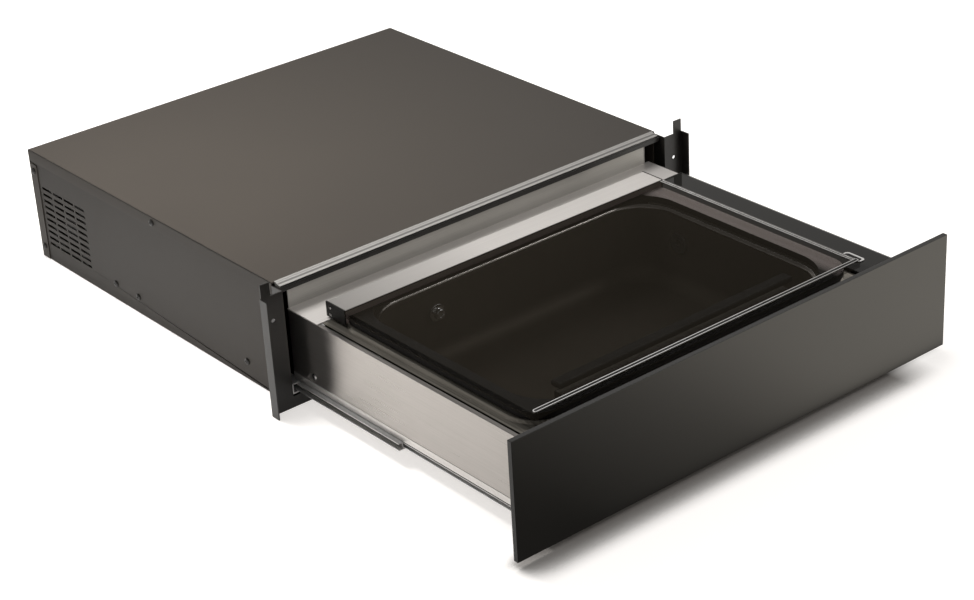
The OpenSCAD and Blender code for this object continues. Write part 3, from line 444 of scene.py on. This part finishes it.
# The upstand's steel is a darker copy of the deck's, as painted shade
keep(brushed_steel, "upstand_steel", ALONG_X, rgb(0.36, 0.35, 0.325), rgb(0.46, 0.445, 0.42),
     0.40, 0.6)
keep(polished, "screw_steel", rgb(0.24, 0.235, 0.23), rgb(0.33, 0.325, 0.32), 0.22)
keep(frame_face, "frame_bronze")
keep(grooved_alloy, "grooved_alloy")
keep(cast_metal, "cast_metal", rgb(0.42, 0.42, 0.42), rgb(0.58, 0.58, 0.57))
keep(laminated_core, "core_steel")
keep(moulded_plastic, "black_plastic", rgb(0.007, 0.0065, 0.006), rgb(0.012, 0.011, 0.010),
     0.46, 0.15)
keep(rubber_skin, "rubber")
keep(board_lacquer, "board_green")
keep(woven_tape, "seal_tape")
keep(lacquered_front, "panel_glass", rgb(0.0075, 0.0068, 0.0058), rgb(0.0105, 0.0095, 0.0082))
keep(tinted_glass, "control_glass", rgb(0.010, 0.0096, 0.0085), 0.03, 0.985, 0.10)
keep(tinted_glass, "lid_glass", rgb(0.0155, 0.0131, 0.0098), 0.02, 0.34, 0.0)
keep(sheet_metal, "pale_edge", rgb(0.80, 0.78, 0.75), rgb(0.90, 0.88, 0.85), 0.34, 0.25)
keep(sheet_metal, "trim_satin", rgb(0.28, 0.269, 0.254), rgb(0.34, 0.327, 0.308), 0.48, 0.3)
keep(beam_face, "beam_bronze")
# The lid's rear cover is darkened towards the left as painted shade
keep(brushed_steel, "cover_brushed", ALONG_X, rgb(0.57, 0.54, 0.51), rgb(0.69, 0.66, 0.63),
     0.40, 0.7, fade=(-250, -40, 0.5))
keep(polished, "satin_groove", rgb(0.13, 0.125, 0.12), rgb(0.18, 0.175, 0.17), 0.34)

SLOT_OF = {part["node"]: part["material_slot"] for part in frame["record"]["subparts"]}


# Modelling: an angle in degrees and two lengths in millimetres, then the tools

SMOOTH_UNDER = 38
MERGE_UNDER = 0.02
LONG_BEND = 20


def alone(obj):
    for other in list(bpy.context.selected_objects):
        other.select_set(False)
    obj.select_set(True)
    bpy.context.view_layer.objects.active = obj


def edit(obj):
    alone(obj)
    bpy.ops.object.mode_set(mode="EDIT")
    bpy.ops.mesh.select_mode(type="VERT")
    bpy.ops.mesh.select_all(action="DESELECT")


def done():
    bpy.ops.object.mode_set(mode="OBJECT")


def clear_bench():
    """Leaves edit mode and deselects every object."""
    if bpy.context.object and bpy.context.object.mode == "EDIT":
        done()
    for other in list(bpy.context.selected_objects):
        other.select_set(False)


def pick_edges(obj, test):
    """Selects the edges whose two ends pass the test, in millimetres, and counts them."""
    done()
    mesh = obj.data
    for face in mesh.polygons:
        face.select = False
    for vertex in mesh.vertices:
        vertex.select = False
    count = 0
    for edge in mesh.edges:
        a, b = (mesh.vertices[i].co * 1000 for i in edge.vertices)
        edge.select = bool(test(a, b))
        count += edge.select
    bpy.ops.object.mode_set(mode="EDIT")
    bpy.ops.mesh.select_mode(type="EDGE")
    return count


def settle(obj):
    """Shades rounded edges smooth and keeps the faces between them flat."""
    alone(obj)
    bpy.ops.object.shade_smooth_by_angle(angle=math.radians(SMOOTH_UNDER))
    flat = obj.modifiers.new("flat", "WEIGHTED_NORMAL")
    flat.mode = "FACE_AREA"
    flat.weight = 100
    flat.keep_sharp = True
    bpy.ops.object.modifier_apply(modifier="flat")


def dress(obj, finish, body, slot, *nodes):
    """Gives a finished piece its material, its body and the CAD nodes it stands for."""
    obj.data.materials.clear()
    obj.data.materials.append(FINISH[finish])
    settle(obj)
    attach(obj, body)
    if nodes:
        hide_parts(*nodes)
    return obj


def face_finish(obj, finish, test):
    """Gives the faces that pass the test, by centre in millimetres and normal, a finish."""
    obj.data.materials.append(FINISH[finish])
    slot = len(obj.data.materials) - 1
    for face in obj.data.polygons:
        if test(face.center * 1000, face.normal):
            face.material_index = slot


def apply_bevel(obj, width, segments=2, angle=32):
    alone(obj)
    bevel = obj.modifiers.new("edge", "BEVEL")
    bevel.width = width * MM
    bevel.segments = segments
    bevel.limit_method = "ANGLE"
    bevel.angle_limit = math.radians(angle)
    bevel.use_clamp_overlap = True
    bpy.ops.object.modifier_apply(modifier="edge")


def body_of(node):
    for name, members in frame["record"]["behaviour"]["bodies"].items():
        if node in members:
            return name
    return "root"


def eased(node, width, segments=2, rounds=(), finish=None):
    """A merged copy of a CAD node, in its place, with its bends rounded and its edges eased."""
    source = frame["nodes"][node]
    obj = bpy.data.objects.new(node + "_eased", source.data.copy())
    bpy.context.scene.collection.objects.link(obj)
    alone(obj)
    bpy.ops.mesh.customdata_custom_splitnormals_clear()
    edit(obj)
    bpy.ops.mesh.select_all(action="SELECT")
    bpy.ops.mesh.remove_doubles(threshold=MERGE_UNDER * MM)
    bpy.ops.mesh.dissolve_limited(angle_limit=math.radians(0.5))
    for test, size, steps in rounds:
        if pick_edges(obj, test):
            bpy.ops.mesh.bevel(offset=size * MM, segments=steps, affect="EDGES")
    done()
    apply_bevel(obj, width, segments)
    return dress(obj, finish or SLOT_OF[node], body_of(node), SLOT_OF[node], node)


def near(value, target, reach=0.15):
    return abs(value - target) < reach


def bend_along(side, height):
    """Tests for the bends from front to rear at both sides, at one height."""
    return lambda a, b: (near(a.x, b.x) and near(a.z, b.z) and abs(a.y - b.y) > LONG_BEND
                         and near(abs(a.x), side) and near(a.z, height))


def bend_across(depth, height):
    """Tests for a bend from left to right at one depth and height."""
    return lambda a, b: (near(a.y, b.y) and near(a.z, b.z) and abs(a.x - b.x) > LONG_BEND
                         and near(a.y, depth) and near(a.z, height))


def bend_upright(side, depth):
    """Tests for the upright bends at both sides, at one depth."""
    return lambda a, b: all(near(abs(end.x), side) and near(end.y, depth) for end in (a, b))


# Casing

cover = eased("top_cover", 0.25, 2, [(bend_along(CASING_SIDE, CASING_TOP), 1.4, 4)])
for vertex in cover.data.vertices:
    vertex.co.y = min(vertex.co.y, CASING_REAR * MM)
# The rounded bends between the top and its sides get black paint as painted shade, a dark line
# along the edge
face_finish(cover, "black_paint", lambda c, n: abs(c.x) > CASING_SIDE - 2 and 0.2 < n.z < 0.97)
eased("casing_tray", 0.2, 1, [(bend_along(TRAY_SIDE, 0), 1.2, 4)], finish="tray_paint")
eased("rear_cover", 0.25, 2)
eased("front_top_rail", 0.25, 2, finish="black_paint")
strip = eased("top_trim_strip", 0.18, 2, finish="trim_satin")
face_finish(strip, "grooved_alloy",
            lambda c, n: n.z > 0.5 and STRIP_GROOVE[0] < c.y < STRIP_GROOVE[1])
face_finish(strip, "black_paint", lambda c, n: n.y < -0.95 and c.y < STRIP_FRONT)
eased("front_lower_rail", 0.3, 2)
for side in ("left", "right"):
    eased("bracket_" + side, 0.35, 2, [(bend_upright(BRACKET_SIDE, BRACKET_BEND), 1.2, 4)])
for node, width in (("bulkhead", 0.2), ("pump_head", 0.8), ("pump_motor", 1.2), ("pump_base", 0.3),
                    ("pump_mounts", 0.8), ("solenoid_valve", 0.6), ("transformer", 0.5),
                    ("power_board", 0.2), ("fan_housing", 0.5), ("mains_inlet", 0.4),
                    ("push_catch_body", 0.6), ("fan_rotor", 0.25), ("catch_plunger", 0.9)):
    eased(node, width)

# Slides

for side in ("left", "right"):
    for member in ("outer", "mid", "inner"):
        slide = eased("slide_%s_%s" % (member, side), 0.22, 2)
        if member == "mid":
            face_finish(slide, "slide_race", lambda c, n: abs(n.x) > 0.9)


# Drawer


def bright_edges(glass):
    """A narrow bright line on the control glass, along its right and rear edges."""
    edit(glass)
    bpy.ops.mesh.select_mode(type="FACE")
    done()
    for face in glass.data.polygons:
        face.select = face.normal.z > 0.99 and face.area > 0.001
    bpy.ops.object.mode_set(mode="EDIT")
    bpy.ops.mesh.inset(thickness=1.1 * MM)
    done()
    settle(glass)
    right, rear = CONSOLE_EDGES
    face_finish(glass, "bright_trim", lambda c, n: n.z > 0.95 and (c.x > right or c.y > rear))


eased("drawer_carrier", 0.25, 2)
for side in ("left", "right"):
    eased("drawer_side_" + side, 0.3, 2, [(bend_along(DRAWER_SIDE, DRAWER_TOP), 0.9, 4)],
          finish="brushed_side")
eased("drawer_back", 0.2, 2)
rear_deck = eased("rear_deck", 0.25, 2, [(bend_across(UPSTAND_FRONT, UPSTAND_FOOT), 2.4, 5)],
                  finish="brushed_across")
# The upstand's faces get the darker steel as painted shade
face_finish(rear_deck, "upstand_steel", lambda c, n: n.y < -0.5 and c.z > UPSTAND_FOOT + 0.6)
eased("front_panel", 0.5, 3)
eased("panel_backing", 0.2, 2)
bright_edges(eased("control_glass", 0.9, 3))
eased("console_housing", 0.4, 2)
eased("control_board", 0.15, 1)
eased("hinge_brackets", 0.3, 2)
eased("hinge_pins", 0.3, 2)
eased("vacuum_port", 0.5, 2)
eased("seal_transformer", 0.5, 2)
eased("seal_posts", 0.4, 2)
eased("seal_bar", 0.7, 3, finish="black_plastic")
eased("seal_strip", 0.15, 1)

# Lid

lid_frame = eased("lid_frame", 0.5, 2)
face_finish(lid_frame, "frame_bronze", lambda c, n: n.z > 0.9 and c.z > CHAMBER_TOP)
face_finish(lid_frame, "beam_bronze",
            lambda c, n: n.y < -0.9 and c.z > LID_BEAM_FOOT and near(c.y, LID_BEAM_FRONT, 1))
eased("lid_glass", 0.5, 2)
eased("lid_rear_cover", 0.2, 2, [(bend_across(LID_COVER_REAR, LID_TOP), 2.0, 5)],
      finish="cover_brushed")
eased("lid_end_caps", 0.3, 2)
eased("lid_hinge_arms", 0.3, 2)
eased("lid_gasket", 0.9, 3)
eased("counter_bar", 1.4, 4)
face_finish(eased("lid_front_trim", 0.15, 2, finish="soft_trim"), "black_plastic",
            lambda c, n: n.z > 0.9 and c.z < LID_TOP + 0.9)
face_finish(eased("lid_side_trim", 0.08, 1, finish="pale_edge"), "satin_groove",
            lambda c, n: n.z > 0.9 and LID_SIDE_GROOVE[0] < c.x < LID_SIDE_GROOVE[1])
face_finish(eased("lid_catch", 0.3, 2), "black_plastic",
            lambda c, n: n.z > 0.9 and c.z < LID_TOP - 3.6)


# Modelling of new pieces


def rounded_plane(name, x0, x1, y0, y1, z, radius=0, steps=0):
    """A flat face with round corners, left in edit mode with the face selected."""
    clear_bench()
    bpy.ops.mesh.primitive_plane_add(size=1, location=(0, 0, 0))
    obj = bpy.context.active_object
    obj.name = name
    bpy.ops.object.mode_set(mode="EDIT")
    bpy.ops.transform.resize(value=((x1 - x0) * MM, (y1 - y0) * MM, 1))
    bpy.ops.transform.translate(value=((x0 + x1) / 2 * MM, (y0 + y1) / 2 * MM, z * MM))
    if radius:
        bpy.ops.mesh.bevel(offset=radius * MM, segments=steps, affect="VERTICES", profile=0.5)
    return obj


def disc(name, radius, height, sides=24):
    """A round blank standing on the origin, in edit mode with its top face selected."""
    clear_bench()
    bpy.ops.mesh.primitive_cylinder_add(radius=radius * MM, depth=height * MM, vertices=sides,
                                        location=(0, 0, height / 2 * MM))
    obj = bpy.context.active_object
    obj.name = name
    bpy.ops.object.transform_apply(location=True, rotation=True, scale=True)
    bpy.ops.object.mode_set(mode="EDIT")
    bpy.ops.mesh.select_mode(type="FACE")
    bpy.ops.mesh.select_all(action="DESELECT")
    done()
    for face in obj.data.polygons:
        face.select = face.normal.z > 0.9
    bpy.ops.object.mode_set(mode="EDIT")
    return obj


def step_in(*steps):
    """Carries the selected face inward and up in steps, leaving a wall behind it."""
    for inward, up in steps:
        if abs(inward) < 1e-6:
            bpy.ops.mesh.extrude_region_move(TRANSFORM_OT_translate={"value": (0, 0, up * MM)})
        else:
            bpy.ops.mesh.inset(thickness=inward * MM, depth=up * MM, use_even_offset=True)


def quarter_turn(steps):
    """The angles at both ends of each small step of a quarter turn."""
    for i in range(steps):
        yield math.radians(90 * i / steps), math.radians(90 * (i + 1) / steps)


def round_down(radius, steps):
    """A quarter turn of the sheet, from flat to upright."""
    for a, b in quarter_turn(steps):
        step_in((radius * (math.sin(b) - math.sin(a)), -radius * (math.cos(a) - math.cos(b))))


def round_in(radius, steps):
    """A quarter turn of the sheet, from upright to flat."""
    for a, b in quarter_turn(steps):
        step_in((radius * (math.cos(a) - math.cos(b)), -radius * (math.sin(b) - math.sin(a))))


def join(*pieces):
    clear_bench()
    for piece in pieces:
        piece.select_set(True)
    bpy.context.view_layer.objects.active = pieces[0]
    bpy.ops.object.join()


def open_edges(obj, test):
    """Selects the sheet's open edges whose two ends pass the test, in millimetres."""
    done()
    mesh = obj.data
    owners = {}
    for face in mesh.polygons:
        for key in face.edge_keys:
            owners[key] = owners.get(key, 0) + 1
    for part in (mesh.polygons, mesh.vertices):
        for item in part:
            item.select = False
    for edge in mesh.edges:
        ends = [mesh.vertices[i].co * 1000 for i in edge.vertices]
        edge.select = owners.get(edge.key, 0) < 2 and all(test(end) for end in ends)
    bpy.ops.object.mode_set(mode="EDIT")
    bpy.ops.mesh.select_mode(type="EDGE")


def sheet_thickness(obj, thickness):
    alone(obj)
    wall = obj.modifiers.new("wall", "SOLIDIFY")
    wall.thickness = thickness * MM
    wall.offset = -1
    bpy.ops.object.modifier_apply(modifier="wall")


def turned(obj, place, turn):
    """Sets a finished piece in its place and leaves its object at the origin."""
    clear_bench()
    alone(obj)
    obj.location = [v * MM for v in place]
    obj.rotation_euler = [math.radians(v) for v in turn]
    bpy.ops.object.transform_apply(location=True, rotation=True, scale=True)


# Chamber: a raised rim with sloping sides, a rounded mouth, and a deep drawn bowl

MOUTH = (-212, 178, -360, -75)
RIM = (-243, 205.5, -380, -60)
PLATE = (-249.5, 206, -404.3, -57.5)
PLATE_TOP = 107
LIP = 4.5
CORNER = 45
WALL_FOOT = 39
FLOOR_BEND = 18
WALL = 1.0


def chamber():
    x0, x1, y0, y1 = MOUTH
    bowl = rounded_plane("chamber_bowl", x0 - LIP, x1 + LIP, y0 - LIP, y1 + LIP, CHAMBER_TOP,
                         CORNER + LIP, 10)
    round_down(LIP, 5)
    step_in((0, WALL_FOOT - (CHAMBER_TOP - LIP)))
    round_in(FLOOR_BEND, 6)
    rim = rounded_plane("chamber_rim", *RIM, PLATE_TOP, CORNER, 10)
    step_in((0.5, 0.12), (2.3, 2.3), (1.3, 0.58))
    bpy.ops.mesh.delete(type="ONLY_FACE")
    plate = rounded_plane("chamber_plate", *PLATE, PLATE_TOP)
    bpy.ops.mesh.delete(type="ONLY_FACE")
    join(bowl, rim, plate)
    open_edges(bowl, lambda end: end.z > CHAMBER_TOP - 0.5)
    bpy.ops.mesh.bridge_edge_loops()
    open_edges(bowl, lambda end: end.z < PLATE_TOP + 0.2)
    bpy.ops.mesh.bridge_edge_loops()
    bpy.ops.mesh.select_all(action="SELECT")
    bpy.ops.mesh.normals_make_consistent(inside=False)
    done()
    widest = max(bowl.data.polygons, key=lambda face: face.area)
    if widest.normal.z < 0:
        edit(bowl)
        bpy.ops.mesh.select_all(action="SELECT")
        bpy.ops.mesh.flip_normals()
        done()
    sheet_thickness(bowl, WALL)
    bowl.name = "drawn_chamber"
    dress(bowl, "rolled_steel", "drawer", "tub_steel", "chamber_tub")
    reach = LIP + 0.3
    lip_foot = CHAMBER_TOP - LIP
    face_finish(bowl, "tub_steel", lambda c, n: c.z > lip_foot - 0.5
                and x0 - reach < c.x < x1 + reach and y0 - reach < c.y < y1 + reach)
    # The bowl below the lip gets the dark brown of painted shade
    face_finish(bowl, "chamber_satin", lambda c, n: c.z < lip_foot - 0.1)


chamber()


# Screws and fittings


def cross_recess(obj, reach, width, top, depth):
    """Cuts a cross into a screw's head."""
    for turn in (0, 90):
        clear_bench()
        bpy.ops.mesh.primitive_cube_add(size=1, location=(0, 0, top * MM))
        bar = bpy.context.active_object
        bar.scale = (2 * reach * MM, width * MM, 2 * depth * MM)
        bar.rotation_euler = (0, 0, math.radians(turn + 12))
        bpy.ops.object.transform_apply(location=True, rotation=True, scale=True)
        alone(obj)
        cut = obj.modifiers.new("cross", "BOOLEAN")
        cut.operation = "DIFFERENCE"
        cut.object = bar
        bpy.ops.object.modifier_apply(modifier="cross")
        bpy.data.objects.remove(bar)


def domed_screw(radius, height):
    """A domed head with a cross recess, on the origin and facing up."""
    head = disc("screw_head", radius, height * 0.35)
    step_in(*[(radius * inward, height * up)
              for inward, up in ((0.10, 0.24), (0.16, 0.2), (0.22, 0.14), (0.22, 0.07))])
    clear_bench()
    cross_recess(head, radius * 0.52, radius * 0.2, height, height * 0.55)
    return head


def screw_set(name, head, finish, body, node, places):
    """Places copies of one head: each place is x, y, z and the side that it faces."""
    heads = []
    for x, y, z, side_faced in places:
        twin = bpy.data.objects.new(name, head.data.copy())
        bpy.context.scene.collection.objects.link(twin)
        turned(twin, (x, y, z), (0, 90 * side_faced, 0))
        heads.append(twin)
    join(*heads)
    bpy.data.objects.remove(head)
    dress(heads[0], finish, body, SLOT_OF[node], node)


def both_sides(places):
    """Screws given on the right side, on the left and then on the right."""
    return [(side * x, y, z, side) for side in (-1, 1) for x, y, z in places]


CASING_SCREWS = ((TRAY_SIDE, 65, 23), (TRAY_SIDE, 283, 22), (TRAY_SIDE, 331, 22),
                 (CASING_SIDE, 492.5, 16), (CASING_SIDE, 492.5, 114), (CASING_SIDE, 230, 133))
DRAWER_SCREWS = ((DRAWER_SIDE, -42, 41), (DRAWER_SIDE, -375, 41))
LID_CAP_SCREWS = ((-239, -57.5, 113, -1), (-239, -57.5, 121, -1),
                  (205, -57.5, 113, 1), (205, -57.5, 121, 1))
screw_set("casing_screw_heads", domed_screw(3.9, 2.2), "black_paint", "casing", "casing_screws",
          both_sides(CASING_SCREWS))
screw_set("drawer_screw_heads", domed_screw(3.6, 1.4), "screw_steel", "drawer", "drawer_screws",
          both_sides(DRAWER_SCREWS))
screw_set("lid_cap_screw_heads", domed_screw(2, 0.8), "screw_steel", "lid", "lid_cap_screws",
          LID_CAP_SCREWS)


def chamber_fitting(name, x, z):
    """A stepped round fitting on the chamber's rear wall."""
    knob = disc(name, 10, 1.2, 32)
    step_in((1.2, 0.5), (2.6, 0.2), (0, 5.0), (0.8, 0.8), (1.8, 0.2), (0.4, -1.4))
    turned(knob, (x, MOUTH[3], z), (90, 0, 0))
    apply_bevel(knob, 0.25, 2, 30)
    dress(knob, "bright_trim", "drawer", "bright_trim")


chamber_fitting("chamber_fitting_left", -117, 76)
chamber_fitting("chamber_fitting_right", 166, 61)

# Solids that no piece replaces, such as the hose, show themselves
for node, obj in frame["nodes"].items():
    if not obj.hide_render:
        obj.data.materials.clear()
        obj.data.materials.append(FINISH[SLOT_OF[node]])

# Stage: a pale floor, soft lamps and the camera at the photograph's angle

FLOOR_GLOW = 0.76
MIRRORED_GLOW = 0.36
AMBIENT = 0.50
SKY_SLANT = 0.35

# Where the floor's shadow and its mirrored part set in, in millimetres

CLOSE_SHADOW = 44
PANEL_SHADOW_X = (265, 215)
PANEL_SHADOW_Y = (-385, -405)
DIM_START_Y = (-420, -426.667)


def seen_ray(f):
    """1 for rays to the camera or through glass, less for mirrored ones, and 0 for others."""
    return (f.clamped(f.ray_is("Camera") + f.ray_is("Transmission"))
            + MIRRORED_GLOW * f.ray_is("Glossy"))


def pale_floor():
    """Plain and pale, with a close shadow that is deepest under the front panel.

    A mirror sees the part before the panel run from dim on the left to bright on the right.
    """
    f = Finish("pale_floor")
    room = f.add("ShaderNodeAmbientOcclusion", {"samples": 16}, {"Distance": CLOSE_SHADOW * MM},
                 "AO")
    close = f.ramp(room, [(0.56, 1.0), (0.74, 0.90), (0.86, 0.45), (0.97, 0.0)])
    at_panel = (f.clamped(f.share_along("Y", *PANEL_SHADOW_Y))
                * f.clamped(f.share_along("X", *PANEL_SHADOW_X)))
    shade = 1 - close * (0.20 + 0.80 * at_panel)
    pale = f.tint(close * at_panel, rgb(0.62, 0.605, 0.585), rgb(0.28, 0.262, 0.245))
    matt = f.add("ShaderNodeBsdfDiffuse", {}, {"Color": pale})
    glow = f.add("ShaderNodeEmission", {}, {
        "Color": rgb(1, 0.97, 0.945), "Strength": FLOOR_GLOW * seen_ray(f) * shade})
    open_floor = f.add("ShaderNodeAddShader", {}, {0: matt, 1: glow})
    before_panel = f.clamped(f.share_along("Y", *DIM_START_Y))
    run = f.ramp(f.share_along("X", -1000, 1000),
                 [(0.40, 0.045), (0.51, 0.30), (0.59, 0.79), (0.68, 0.90)])
    dimmed = f.add("ShaderNodeEmission", {}, {
        "Color": rgb(1, 0.94, 0.835), "Strength": 2.4 * run})
    return f.showing(f.add("ShaderNodeMixShader", {}, {
        0: f.ray_is("Glossy") * before_panel, 1: open_floor, 2: dimmed}))


bpy.ops.mesh.primitive_plane_add(size=14, location=(0, 0, -0.0004))
floor = bpy.context.active_object
floor.name = "studio_floor"
floor.data.materials.append(pale_floor())


def studio_world():
    """White to the eye and near the horizon in a mirror, darker overhead, softer as a light."""
    world = bpy.data.worlds.new("studio")
    bpy.context.scene.world = world
    f = Nodes(world)
    way = f.add("ShaderNodeTexCoord", out="Generated")
    mirrored = f.ramp(f.part_of(way, "Z") - SKY_SLANT * f.part_of(way, "X"),
                      [(0.29, 0.76), (0.38, 0.44), (0.52, 0.24), (0.80, 0.15)])
    camera, gloss, through = (f.ray_is(kind) for kind in ("Camera", "Glossy", "Transmission"))
    soft = 1 - f.clamped(camera + gloss + through)
    sky = f.add("ShaderNodeBackground", {}, {
        "Color": f.tint(gloss, rgb(1, 1, 1), rgb(1, 0.975, 0.945)),
        "Strength": f.clamped(camera + through) + gloss * mirrored + AMBIENT * soft})
    f.add("ShaderNodeOutputWorld", {}, {"Surface": sky})


studio_world()


def soft_lamp(name, place, aim, size, watts, mirrored=True):
    """A square lamp of a size in metres, which the camera never sees."""
    lamp = bpy.data.lights.new(name, "AREA")
    lamp.shape = "RECTANGLE"
    lamp.size = size
    lamp.size_y = size
    lamp.energy = watts
    obj = bpy.data.objects.new(name, lamp)
    bpy.context.scene.collection.objects.link(obj)
    obj.location = place
    obj.rotation_euler = (Vector(aim) - Vector(place)).to_track_quat("-Z", "Y").to_euler()
    obj.visible_camera = False
    obj.visible_glossy = mirrored


soft_lamp("lamp_top_left", (-0.25, 0.30, 0.82), (-0.25, 0.30, 0.1), 0.35, 12, mirrored=False)
soft_lamp("lamp_back_right", (0.75, 0.60, 1.0), (0.15, -0.1, 0.11), 0.5, 0.45)
soft_lamp("lamp_front_right", (1.42, -1.35, 1.55), (0, -0.1, 0.1), 0.45, 7)

# Camera: the first two in pixels of the photograph, then millimetres, angles and metres

PHOTO_WIDTH = 974
FOCAL_LENGTH = 2329.7
SENSOR = 36
AZIMUTH, ELEVATION, ROLL = (math.radians(v) for v in (-38.15, 27.17, -3.497))
CAMERA_AIM = (0.0300, 0.0255, 0)
CAMERA_DISTANCE = 2.6381


def photo_camera():
    """The photograph's viewing angle, towards a point on the floor."""
    back = Vector((math.sin(AZIMUTH) * math.cos(ELEVATION),
                   -math.cos(AZIMUTH) * math.cos(ELEVATION),
                   math.sin(ELEVATION)))
    right = Vector((math.cos(AZIMUTH), math.sin(AZIMUTH), 0))
    up = back.cross(right)
    turned_right = right * math.cos(ROLL) + up * math.sin(ROLL)
    turned_up = up * math.cos(ROLL) - right * math.sin(ROLL)
    data = bpy.data.cameras.new("camera")
    data.lens = FOCAL_LENGTH / PHOTO_WIDTH * SENSOR
    data.sensor_width = SENSOR
    data.clip_start = 0.05
    data.clip_end = 60
    obj = bpy.data.objects.new("camera", data)
    bpy.context.scene.collection.objects.link(obj)
    turn = Matrix((turned_right, turned_up, back)).transposed()
    place = Vector(CAMERA_AIM) + back * CAMERA_DISTANCE
    obj.matrix_world = Matrix.Translation(place) @ turn.to_4x4()
    bpy.context.scene.camera = obj


photo_camera()
bpy.context.scene.view_settings.view_transform = "Standard"
